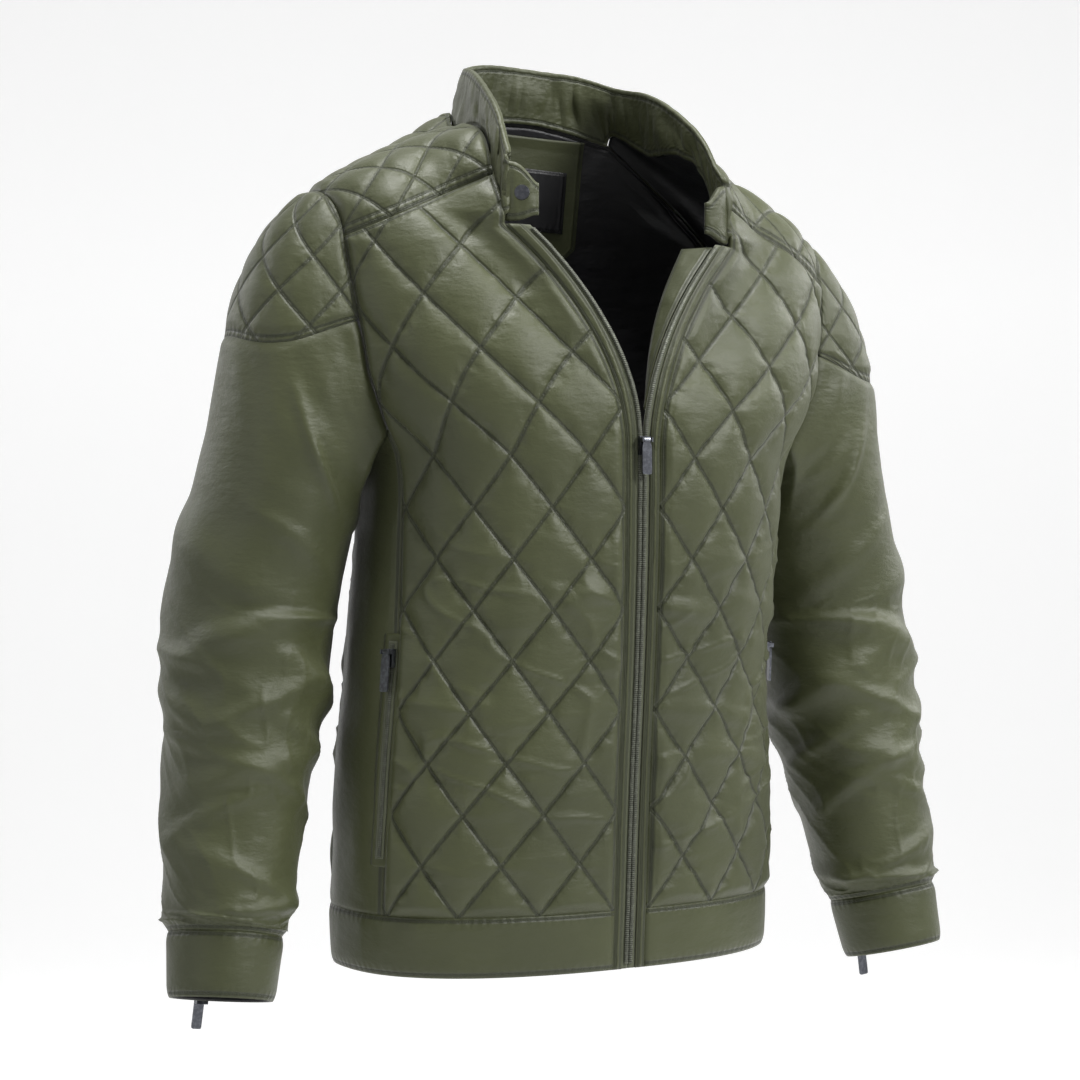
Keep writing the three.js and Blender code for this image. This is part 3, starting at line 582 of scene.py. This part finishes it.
def clothPiece(name, surface, look, thick, nodes, flip=False, raised=None, away=0.0,
               closed=False, inner="lining", extra=None, spacing=None, crown=1.2, inset=0.0):
    spacing = spacing or grid["spacing"]
    coarse = surface(*np.meshgrid(np.linspace(0, 1, 41), np.linspace(0, 1, 41), indexing="ij"))
    wide = np.linalg.norm(np.diff(coarse, axis=0), axis=-1).sum(0)
    long = np.linalg.norm(np.diff(coarse, axis=1), axis=-1).sum(1)
    nu = max(6, math.ceil(wide.max() / spacing))
    nv = max(4, math.ceil(long.max() / spacing))
    cutU, cutV = inset / wide.mean(), inset / long.mean()
    us = np.arange(nu) / nu if closed else np.linspace(cutU, 1 - cutU, nu + 1)
    vs = np.linspace(cutV, 1 - cutV, nv + 1)
    u, v = np.meshgrid(us, vs, indexing="ij")
    base = surface(u, v)
    normal = gridNormals(base, closed) * (-1 if flip else 1)
    stepU = np.linalg.norm(np.diff(base, axis=0), axis=-1)
    stepV = np.linalg.norm(np.diff(base, axis=1), axis=-1)
    zero = np.zeros((1, base.shape[1]))
    across = np.cumsum(np.concatenate([zero, stepU]), axis=0)
    up = np.cumsum(np.concatenate([np.zeros((base.shape[0], 1)), stepV], axis=1), axis=1)
    far = 1e3 + 0 * across
    edges = dict(U0=far if closed else across, U1=far if closed else across[-1:] - across,
                 V0=up, V1=up[:, -1:] - up)
    border = np.minimum.reduce([edges[k] for k in edges])
    height = crown * (1 - np.exp(-border / 2.2))
    if raised is not None:
        height = height + raised(u, v, edges) * smooth(border / 9)
    outer = base + normal * (away + height)[..., None]
    under = base + normal * (away - thick)
    attributes = dict(across=across, up=up, **{"edge" + k: e for k, e in edges.items()})
    if extra:
        attributes.update(extra(u, v, edges))
    count, rows = base.shape[:2]
    ids = np.arange(count * rows).reshape(count, rows)
    nextIds = np.roll(ids, -1, 0) if closed else ids[1:]
    here = ids if closed else ids[:-1]
    quads = np.stack([here[:, :-1], nextIds[:, :-1], nextIds[:, 1:], here[:, 1:]], -1).reshape(-1, 4)
    total = count * rows
    insideQuads = quads[:, ::-1] + total
    rims = []
    for ring, turn in ((0, False), (rows - 1, True)):
        a, b = here[:, ring], nextIds[:, ring]
        quad = np.stack([b, a, a + total, b + total], -1)
        rims.append(quad[:, ::-1] if turn else quad)
    if not closed:
        for ring, turn in ((0, True), (count - 1, False)):
            a, b = ids[ring, :-1], ids[ring, 1:]
            quad = np.stack([b, a, a + total, b + total], -1)
            rims.append(quad[:, ::-1] if turn else quad)
    faces = np.concatenate([quads, insideQuads, *rims])
    if flip:
        faces = faces[:, ::-1]
    points = np.concatenate([outer.reshape(-1, 3), under.reshape(-1, 3)]) / 1000
    mesh = bpy.data.meshes.new(name)
    mesh.from_pydata(points.tolist(), [], faces.tolist())
    for key, values in attributes.items():
        flat = np.broadcast_to(values, (count, rows)).reshape(-1)
        made = mesh.attributes.new(key, "FLOAT", "POINT")
        made.data.foreach_set("value", np.concatenate([flat, flat]).astype(np.float32))
    mesh.materials.append(looks[look])
    mesh.materials.append(looks[inner])
    which = np.zeros(len(faces), dtype=np.int32)
    which[len(quads):len(quads) + len(insideQuads)] = 1
    mesh.polygons.foreach_set("material_index", which)
    mesh.polygons.foreach_set("use_smooth", np.ones(len(faces), dtype=bool))
    mesh.update()
    piece = bpy.data.objects.new(name, mesh)
    bpy.context.scene.collection.objects.link(piece)
    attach(piece, "root")
    if nodes:
        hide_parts(*nodes)
    corner = coarse[:-1, :-1]
    areas = np.linalg.norm(np.cross(coarse[1:, :-1] - corner, coarse[:-1, 1:] - corner), axis=-1)
    flatArea = float(areas.sum()) / 1e6
    flat = tuple(max(float(s.max()) / 1000, 0.0101) for s in (wide, long))
    flatArea = min(max(flatArea, 0.31 * flat[0] * flat[1]), flat[0] * flat[1])
    return piece


# Cloth's width from the centre front on a middle ring
ringAngles = np.arange(181.0)
ringSteps = np.linalg.norm(np.diff(torso(ringAngles, -330.0), axis=0), axis=-1)
ringSums = np.concatenate([[0], np.cumsum(ringSteps)])


def clothRound(theta):
    return np.interp(np.where(theta > 180, 360 - theta, theta), ringAngles, ringSums)


# Quilting starts at the front's edge on the fronts and at the centre line on the back
def quiltAcross(theta, onBack):
    if onBack:
        return (ringSums[-1] - clothRound(theta)) * np.where(theta > 180, -1, 1)
    return clothRound(theta) - body["zipHalf"] - body["placketWidth"]


# Pads between two crossing families of seams, with a sharp groove at each seam
def pads(a, b, slope):
    da = np.abs(a - np.round(a)) / slope
    db = np.abs(b - np.round(b)) / slope
    near = np.minimum(da, db)
    crown = np.sqrt(np.abs(np.sin(np.pi * a) * np.sin(np.pi * b)))
    return 0.55 * (1 - np.exp(-near / 5.0)) + 0.45 * crown


def diamonds(across, up, wide, tall):
    return pads(across / wide + up / tall, across / wide - up / tall, math.hypot(1 / wide, 1 / tall))


creasing = dict(height=3.6, low=-600, high=-290, fine=1.1, ridges=2.0, sway=0.96)


def bodyHeight(cut, mirrorSeed, onBack=False):
    def raised(u, v, edges):
        theta, z = cut(u, v)
        across = quiltAcross(theta, onBack)
        up = z - body["hemTop"]
        wide, tall = quilting["wide"], quilting["tall"]
        a, b = across / wide + up / tall, across / wide - up / tall
        side = np.where(theta > 180, -1, 1)
        # The pocket's surroundings stay flat
        flatten = smooth((clothRound(theta) - 205) / 14) * smooth((-372 - z) / 20) * smooth((z + 594) / 20)
        puffs = quilting["puff"] * diamonds(across, up, wide, tall) * (1 - flatten * (theta < 90))
        # Drag lines across the waist, strongest beside the zip, and small puckers along the seams
        zone = smooth((z - creasing["low"]) / 70) * smooth((creasing["high"] - z) / 90)
        beside = 0.35 + 0.65 * np.exp(-((across / 80) ** 2))
        drag = softNoise(across / 95 + 7 * side, (z + 0.16 * across) / 15, 11 + mirrorSeed)
        drag = np.maximum(drag, -0.2) * creasing["height"] * zone * beside
        ridge = 1 - np.abs(softNoise(across / 60 + 3 * side, (z - 0.3 * across) / 24, 17 + mirrorSeed)) * 3
        drag = drag + creasing["ridges"] * np.maximum(ridge, 0) ** 2 * zone
        seam = np.exp(-np.minimum(np.abs(a - np.round(a)), np.abs(b - np.round(b))) * 9)
        pucker = creasing["fine"] * softNoise(across / 7, z / 6, 21 + mirrorSeed) * seam
        sway = creasing["sway"] * softNoise(across / 70, z / 90, 31 + mirrorSeed)
        return puffs + drag + pucker + sway
    return raised


def quiltExtra(cut, onBack=False):
    def extra(u, v, edges):
        theta, z = cut(u, v)
        start = body["zipHalf"] + body["placketWidth"]
        return dict(round=quiltAcross(theta, onBack) + start + 0 * z, rise=z - body["hemTop"] + 0 * theta)
    return extra


sides = (("left", 1), ("right", -1))

for name, side in sides:
    surface = onSide(lambda u, v: frontPoint(*frontCut(u, v)), side, hang)
    seed = 1 if side > 0 else 2
    clothPiece(f"quiltedFront_{name}", surface, "quilted", body["shellWall"], [f"front_{name}"],
               flip=side < 0, spacing=2.2, raised=bodyHeight(frontCut, seed), extra=quiltExtra(frontCut))
clothPiece("quiltedBack", lambda u, v: hang(torso(*backCut(u, v))), "quilted", body["shellWall"], ["back"],
           raised=bodyHeight(backCut, 3, True), extra=quiltExtra(backCut, True))
print("fronts and back quilted")


# Side panels hang plain, with a few long soft folds
def sideCut(u, v):
    theta = lerp(body["sideSeam"], body["backSeam"], u)
    return theta, lerp(body["hemTop"], underarm(theta), v)


def softFolds(scaleU, scaleV, height, seed):
    return lambda u, v, edges: height * softNoise(u * scaleU + seed, v * scaleV, seed)


for name, side in sides:
    surface = onSide(lambda u, v: torso(*sideCut(u, v)), side, hang)
    clothPiece(f"sidePanel_{name}", surface, "plain", body["shellWall"], [f"side_panel_{name}"],
               flip=side < 0, raised=softFolds(4, 9, 1.8, 41 + side))


# Shoulder yokes and sleeve caps, with smaller diamonds
def yokePads(u, v, edges):
    puffs = diamonds(edges["U1"], edges["V0"], quilting["yokeWide"], quilting["yokeTall"])
    return quilting["yokePuff"] * puffs * smooth((edges["V0"] - 6) / 8)


def capAngle(u):
    return lerp(-90, 90, u)


# The caps' diamonds stand upright: round the arm and up it
def capLengths(u, v):
    x, y, z = np.moveaxis(capSurface(u, v), -1, 0)
    return quilting["capRadius"] * np.arctan2(y - 8, x - 185), z


def capPads(u, v, edges):
    across, up = capLengths(u, v)
    puffs = diamonds(across, up, quilting["capWide"], quilting["capTall"])
    return quilting["capPuff"] * puffs * smooth((edges["V0"] - 6) / 8)


def capSurface(u, v):
    angle = capAngle(u)
    return sleevePoint(angle, capSeam(angle) * (1 - v))


for name, side in sides:
    surface = onSide(lambda u, v: yokeSurface(1 - u, v), side, hang)
    clothPiece(f"yokeQuilted_{name}", surface, "yoke",
               body["shellWall"], [f"yoke_{name}"], flip=side > 0, raised=yokePads,
               extra=lambda u, v, edges: dict(round=edges["U1"], rise=edges["V0"]))
    clothPiece(f"capQuilted_{name}", onSide(capSurface, side, tiltShoulders), "cap",
               body["sleeveWall"], [f"sleeve_cap_{name}"], flip=side > 0, raised=capPads,
               extra=lambda u, v, edges: dict(zip(("round", "rise"), capLengths(u, v))))
print("yokes and caps quilted")

sleeveSet = dict(folds=1.35, soft=1.5, sharp=1.1)

# Sleeve folds: place along the arm (1 bicep, 2 cuff seam), angle, half sizes, height, lean
sleeveFolds = np.array([
    (1.12, 20, 0.05, 60, 4, 0.05), (1.3, 70, 0.035, 55, 5, -0.06), (1.38, 140, 0.03, 60, 5, 0.05),
    (1.45, 30, 0.035, 50, 4.5, 0.07), (1.56, 80, 0.035, 60, 4, -0.05), (1.5, 250, 0.04, 60, 4, 0.05),
    (1.7, 20, 0.04, 55, 3.5, 0.06), (1.82, 110, 0.035, 60, 3, -0.04), (1.9, 320, 0.03, 50, 3, 0.03),
    (1.24, 110, 0.02, 45, 2.6, -0.05), (1.34, 20, 0.018, 50, 2.6, 0.07), (1.42, 90, 0.018, 40, 3.0, -0.08),
    (1.5, 150, 0.02, 50, 2.8, 0.06), (1.52, 40, 0.016, 45, 2.4, 0.05), (1.6, 130, 0.018, 45, 2.4, 0.06),
    (1.64, 60, 0.018, 50, 2.6, -0.06), (1.75, 90, 0.016, 50, 2.2, 0.05), (1.78, 160, 0.02, 45, 2.2, -0.05),
    (1.88, 60, 0.014, 45, 1.9, 0.03), (1.94, 130, 0.012, 60, 1.6, -0.02), (1.62, 230, 0.02, 50, 2.4, 0.06),
    (1.36, 210, 0.02, 50, 2.6, -0.05), (1.06, 100, 0.03, 40, 2.2, 0.1), (0.7, 95, 0.06, 22, 3.2, 0.4),
    (0.8, 265, 0.06, 22, 3.0, -0.4)])


def foldHeight(angle, t, shiftT=0.0):
    total = 0 * t
    for place, middle, along, around, height, lean in sleeveFolds:
        da = np.mod(angle - middle + 180, 360) - 180
        dt = t - place - shiftT - lean * da / 60
        total = total + height * np.exp(-((dt / along) ** 2) - (da / around) ** 2)
    return total


def sleeveParts(u, v):
    angle = -360 * u
    top = np.maximum(capSeam(angle) - 0.014, 0)
    t = np.where(v < 0.34, lerp(top, 1, v / 0.34), lerp(1, 2, (v - 0.34) / 0.66))
    return angle, t


def sleeveHeight(seed, shiftT):
    def raised(u, v, edges):
        angle, t = sleeveParts(u, v)
        angle = np.mod(angle, 360)
        turn = 2 * np.pi * u
        soft = softNoise(3 + 2.2 * np.cos(turn), 3 + 2.2 * np.sin(turn) + t * 9, seed)
        sharp = softNoise(9 + 3.2 * np.cos(turn) + t * 5, 9 + 3.2 * np.sin(turn) + t * 17, seed + 1)
        sharp = 1 - np.abs(sharp) * 2.2
        zone = smooth((t - 1.05) / 0.25)
        foot = 0.8 * softNoise(30 + 22 * np.cos(turn), 30 + 22 * np.sin(turn), seed + 2)
        foot = foot * smooth((t - 1.86) / 0.1)
        folds = sleeveSet["folds"] * foldHeight(angle, t, shiftT) + sleeveSet["soft"] * soft
        return folds + sleeveSet["sharp"] * np.maximum(sharp, 0) ** 2 * zone + foot + 1.2
    return raised


def cuffHeight(u, v, edges):
    return 0.7 * np.sin(2 * np.pi * u * 9 + 3 * v) * np.exp(-edges["V0"] / 9) + 0.6


for name, side in sides:
    seed, shiftT = (51, 0.0) if side < 0 else (61, 0.03)
    cloth = onSide(lambda u, v: sleevePoint(*sleeveParts(u, v)), side, tiltShoulders)
    cuff = onSide(lambda u, v: sleevePoint(-360 * u, 2 + v), side, tiltShoulders)
    clothPiece(f"sleeveCloth_{name}", cloth, "sleeve", body["sleeveWall"], [f"sleeve_{name}"],
               flip=side > 0, closed=True, raised=sleeveHeight(seed, shiftT), spacing=2.6)
    clothPiece(f"cuffBand_{name}", cuff, "cuff", body["sleeveWall"], [f"cuff_{name}"], flip=side > 0,
               closed=True, raised=cuffHeight)
print("sleeves and cuffs made")

hemStart = float(thetaAt(body["zipHalf"] + body["placketWidth"], body["hemTop"]))


def hemSurface(u, v):
    return hang(torso(lerp(hemStart, 360 - hemStart, u), lerp(body["hemEdge"], body["hemTop"], v)))


def hemHeight(u, v, edges):
    ripple = softNoise(u * 46, v * 1.3, 71) + 0.6 * softNoise(u * 110, v * 2, 72)
    return 1.1 * ripple * np.exp(-edges["V1"] / 16) + 0.8 * softNoise(u * 16, v, 73) + 0.6


clothPiece("hemBand", hemSurface, "hem", body["shellWall"], ["hem_band"], raised=hemHeight)


# Plackets, zip tapes and the facing beside the open front
def strip(near, far, low=body["hemEdge"]):
    def surface(u, v):
        z = lerp(low, body["zipTopZ"], v)
        x = lerp(near(z), far(z), u)
        return openFront(torso(thetaAt(x, z), z), x)
    return surface


def sunk(surface, depth):
    return lambda u, v: surface(u, v) + (0, depth, 0)


def facingSurface(u, v):
    z = lerp(body["sliderZ"] + 30, body["zipTopZ"] - 2, v)
    share = openShare(z)
    ridge = openFront(torso(thetaAt(teethX(z), z), z), teethX(z))
    back = stack(ridge[..., 0] + lerp(10, -14, share), ridge[..., 1] + lerp(5, 26, share) + 4, z)
    return lerp(ridge + (-0.6, 4.4, 0), back, u[..., None])


for name, side in sides:
    clothPiece(f"placketStrip_{name}", onSide(strip(zipSide, quiltEdgeX), side, hang), "trim",
               body["trimWall"], [f"placket_{name}"], flip=side < 0, spacing=1.8, inner="trim", crown=1.5,
               raised=lambda u, v, edges: 0.35 * softNoise(u * 2, v * 90, 81) + 0.25)
    clothPiece(f"zipTape_{name}", onSide(sunk(strip(teethX, zipSide), 1.2), side, hang), "tape",
               body["trimWall"], [f"zip_{name}"], flip=side < 0, spacing=2.0, inner="tape", crown=0.2)
    clothPiece(f"facingStrip_{name}", onSide(facingSurface, side, hang), "trim",
               body["trimWall"], [f"facing_{name}"], flip=side > 0, inner="trim",
               raised=softFolds(2, 12, 1.0, 83))


# Coil teeth: small rounded blocks along each tape's edge
teeth = dict(pitch=1.55, reach=3.2, height=1.7, width=1.0)


def toothRow(name, path, outward, across):
    lengths = np.concatenate([[0], np.cumsum(np.linalg.norm(np.diff(path, axis=0), axis=-1))])
    along = np.arange(0.5, lengths[-1], teeth["pitch"])
    at = stack(*[np.interp(along, lengths, path[:, i]) for i in range(3)])
    out = unit(stack(*[np.interp(along, lengths, outward[:, i]) for i in range(3)]))
    over = unit(stack(*[np.interp(along, lengths, across[:, i]) for i in range(3)]))
    up = unit(np.cross(over, out))
    half = teeth["reach"] / 2, teeth["height"] / 2, teeth["width"] / 2
    ring = ((-1, -1), (-1, 0.3), (-0.5, 1), (0.5, 1), (1, 0.3), (1, -1))
    points, faces = [], []
    for end in (-1, 1):
        for a, b in ring:
            points.append(at + over * (a * half[0]) + out * (b * half[1]) + up * (end * half[2]))
    points = np.stack(points, 1)
    n = len(ring)
    block = [tuple((i, (i + 1) % n, (i + 1) % n + n, i + n)) for i in range(n)]
    for k in range(len(at)):
        faces += [tuple(j + 2 * n * k for j in f) for f in block]
        faces += [tuple(2 * n * k + j for j in range(n))[::-1], tuple(2 * n * k + n + j for j in range(n))]
    mesh = bpy.data.meshes.new(name)
    mesh.from_pydata((points.reshape(-1, 3) / 1000).tolist(), [], faces)
    mesh.materials.append(looks["teeth"])
    piece = bpy.data.objects.new(name, mesh)
    bpy.context.scene.collection.objects.link(piece)
    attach(piece, "root")
    return piece


def surfaceFrame(surface, u, v, flip=1):
    step = 1e-3
    at = surface(u, v)
    du = surface(u + step, v) - surface(u - step, v)
    dv = surface(u, v + step) - surface(u, v - step)
    return at, unit(np.cross(du, dv)) * flip, unit(du)


for name, side in sides:
    tape = onSide(sunk(strip(teethX, zipSide, body["hemEdge"] + 4), 1.2), side, hang)
    v = np.linspace(0, 0.995, 400)
    at, out, over = surfaceFrame(tape, 0.28 + 0 * v, v, side)
    toothRow(f"zipTeeth_{name}", at + out * 1.3, out, over)
print("zip made")

# Collar, with its foot inside the neck edge
clothPiece("standCollar", lambda u, v: tiltShoulders(collarSurface(u, v)), "collar", body["collarWall"],
           ["collar"], flip=True, inner="collar", spacing=2.2, crown=1.4,
           raised=lambda u, v, edges: 0.5 * np.sin(np.pi * v))

# Lining below the collar, the hanging patch, a bare label and a bare size tag
patchCentre = 10
layers = dict(lining=-(body["shellWall"] + 0.4) - 0.6, patch=-(body["shellWall"] + 1.8) - 1.7,
              label=-(body["shellWall"] + 3.2) - 1.9)


def liningSurface(u, v):
    return hang(torso(*backCut(0.5 + (u - 0.5) * 16 / 30, 1 - (1 - v) * 10 / 20)))


def backInside(width, top, low, middle):
    def surface(u, v):
        z = lerp(low, top, v)
        x = middle + lerp(1, -1, u) * width(v)
        angle = thetaAt(x, z, True)
        return tiltShoulders(torso(np.where(x < 0, 360 - angle, angle), z))
    return surface


def patchWidth(v):
    return 42 * np.where(v < 0.2, lerp(0.45, 1, v / 0.2), 1)


clothPiece("backLining", liningSurface, "lining", 1.0, ["lining"], away=layers["lining"], crown=0.0,
           inset=4.5, raised=lambda u, v, edges: -1.4 - 1.2 * softNoise(u * 9, v * 14, 91))
clothPiece("neckPatch", backInside(patchWidth, 10, -100, patchCentre), "patch", 1.0, ["patch"],
           away=layers["patch"], crown=0.3, inner="patch", spacing=2.2,
           raised=lambda u, v, edges: -0.5 * softNoise(u * 3, v * 4, 92))
clothPiece("plainLabel", backInside(lambda v: 29 + 0 * v, -16, -66, patchCentre), "label", 0.6, ["label"],
           away=layers["label"], crown=0.1, inner="label", spacing=2.2)
sizeTag = clothPiece("sizeTag", backInside(lambda v: 8 + 0 * v, -67, -84, patchCentre - 2), "label", 0.5, [],
                     away=layers["label"] + 0.2, crown=0.1, inner="label", spacing=1.6)
print("collar, lining and label made")


# Pocket welts with their zips, and the zips at the back of the cuffs
def weltSurface(low, high, top, foot):
    return lambda u, v: torso(lerp(low, high, u), lerp(foot, top, v))


pocket = dict(welt=(66.5, 77, -396, -570), tape=(70.2, 73.6, -402, -564), groove=0.9)


def weltHeight(u, v, edges):
    return -pocket["groove"] * (1 - smooth((np.abs(u - 0.515) - 0.12) / 0.1))


for name, side in sides:
    welt = onSide(weltSurface(*pocket["welt"]), side, hang)
    tape = onSide(weltSurface(*pocket["tape"]), side, hang)
    clothPiece(f"pocketWelt_{name}", welt, "trim", 1.2, [f"pocket_welt_{name}"], flip=side < 0, away=1.7,
               inner="trim", spacing=1.6, crown=0.9, raised=weltHeight)
    clothPiece(f"pocketZip_{name}", tape, "tape", 1.2, [f"pocket_zip_{name}"], flip=side < 0, away=3.2,
               inner="tape", spacing=1.6, crown=0.1)
    v = np.linspace(0.01, 0.99, 160)
    at, out, over = surfaceFrame(tape, 0.5 + 0 * v, v, side)
    toothRow(f"pocketTeeth_{name}", at + out * 3.7, out, over)
    cuff = onSide(lambda u, v: sleevePoint(lerp(276, 264, u), lerp(2.96, 2.06, v)), side, tiltShoulders)
    clothPiece(f"cuffZip_{name}", cuff, "tape", 1.2, [f"cuff_zip_{name}"], flip=side < 0, away=2.0,
               inner="tape", spacing=1.6, crown=0.1)
    at, out, over = surfaceFrame(cuff, 0.5 + 0 * v, v, side)
    toothRow(f"cuffTeeth_{name}", at + out * 2.5, out, over)

# Sliders, tabs and studs keep the construction's solids, in dark polished metal
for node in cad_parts:
    if node.endswith(("_slider", "_pull")) or node.startswith("stud_"):
        solid = bpy.data.objects.get(node)
        if solid:
            solid.data.materials.clear()
            solid.data.materials.append(looks["metal"])
print("pockets and metal made")

camera = dict(azimuth=-24, distance=2.0, focal=2500 / 1080 * 36, aside=-0.020, height=-0.326)
turn = camera["azimuth"] * rad
ahead = Vector((-math.sin(turn), math.cos(turn), 0))
rightWay = Vector((math.cos(turn), math.sin(turn), 0))

# Pale floor rising into a backdrop, soft studio lights
studio = dict(floor=-1.25, back=3.6, pale=(0.84, 0.84, 0.84), glow=0.33, world=0.36)


def backdrop():
    look = Look("paleStudio")
    grain = look.noise(look.place(), 3.0)
    tint = look.mixed(grain, studio["pale"], tuple(0.985 * c for c in studio["pale"]))
    # Only the far part of the floor and the wall behind it glow
    sockets = (look.place(), tuple(ahead))
    far = look.node("ShaderNodeVectorMath", dict(operation="DOT_PRODUCT"), sockets, "Value")
    glow = look.mixed(far.between(1.0, 2.0), (0, 0, 0), (1, 1, 1))
    look.finish(tint, 0.9, Emission_Color=glow, Emission_Strength=studio["glow"])
    profile = [(-9.0, 0.0), (studio["back"], 0.0)]
    for step in range(1, 13):
        turn = math.pi / 2 * step / 12
        profile.append((studio["back"] + 1.6 * math.sin(turn), 1.6 - 1.6 * math.cos(turn)))
    profile.append((studio["back"] + 1.6, 7.0))
    points, faces = [], []
    for along, up in profile:
        for across in (-9.0, 9.0):
            points.append(rightWay * across + ahead * along + Vector((0, 0, studio["floor"] + up)))
    for n in range(len(profile) - 1):
        faces.append((2 * n, 2 * n + 1, 2 * n + 3, 2 * n + 2))
    mesh = bpy.data.meshes.new("backdrop")
    mesh.from_pydata(points, [], faces)
    mesh.polygons.foreach_set("use_smooth", [True] * len(faces))
    mesh.materials.append(look.material)
    piece = bpy.data.objects.new("backdrop", mesh)
    bpy.context.scene.collection.objects.link(piece)


backdrop()
eye = bpy.data.objects.new("camera", bpy.data.cameras.new("camera"))
bpy.context.scene.collection.objects.link(eye)
eye.data.lens = camera["focal"]
eye.data.sensor_width = 36
eye.data.clip_end = 40
eye.location = -ahead * camera["distance"] + rightWay * camera["aside"] + Vector((0, 0, camera["height"]))
eye.rotation_euler = ahead.to_track_quat("-Z", "Y").to_euler()
bpy.context.scene.camera = eye

lights = (  # name, place beside the camera's right, towards the camera, up, size, watts
    ("keyLight", 2.0, 1.3, 1.5, 0.9, 76), ("fillLight", -2.3, 1.6, 0.6, 1.2, 11),
    ("topLight", 0.1, 0.3, 2.1, 0.9, 60), ("rimLight", 2.1, -1.2, 1.0, 1.0, 22),
    ("rimLightNear", -2.2, -1.0, 1.0, 1.0, 10))
for name, aside, towards, up, size, watts in lights:
    lamp = bpy.data.objects.new(name, bpy.data.lights.new(name, "AREA"))
    lamp.data.shape = "DISK"
    lamp.data.size = size
    lamp.data.energy = watts
    lamp.location = rightWay * aside - ahead * towards + Vector((0, 0, up + camera["height"]))
    lamp.rotation_euler = (Vector((0, 0, -0.3)) - lamp.location).to_track_quat("-Z", "Y").to_euler()
    bpy.context.scene.collection.objects.link(lamp)
world = bpy.data.worlds.new("studioAir")
bpy.context.scene.world = world
world.use_nodes = True
world.node_tree.nodes["Background"].inputs[0].default_value = (1, 1, 1, 1)
world.node_tree.nodes["Background"].inputs[1].default_value = studio["world"]
bpy.context.scene.view_settings.view_transform = "Standard"
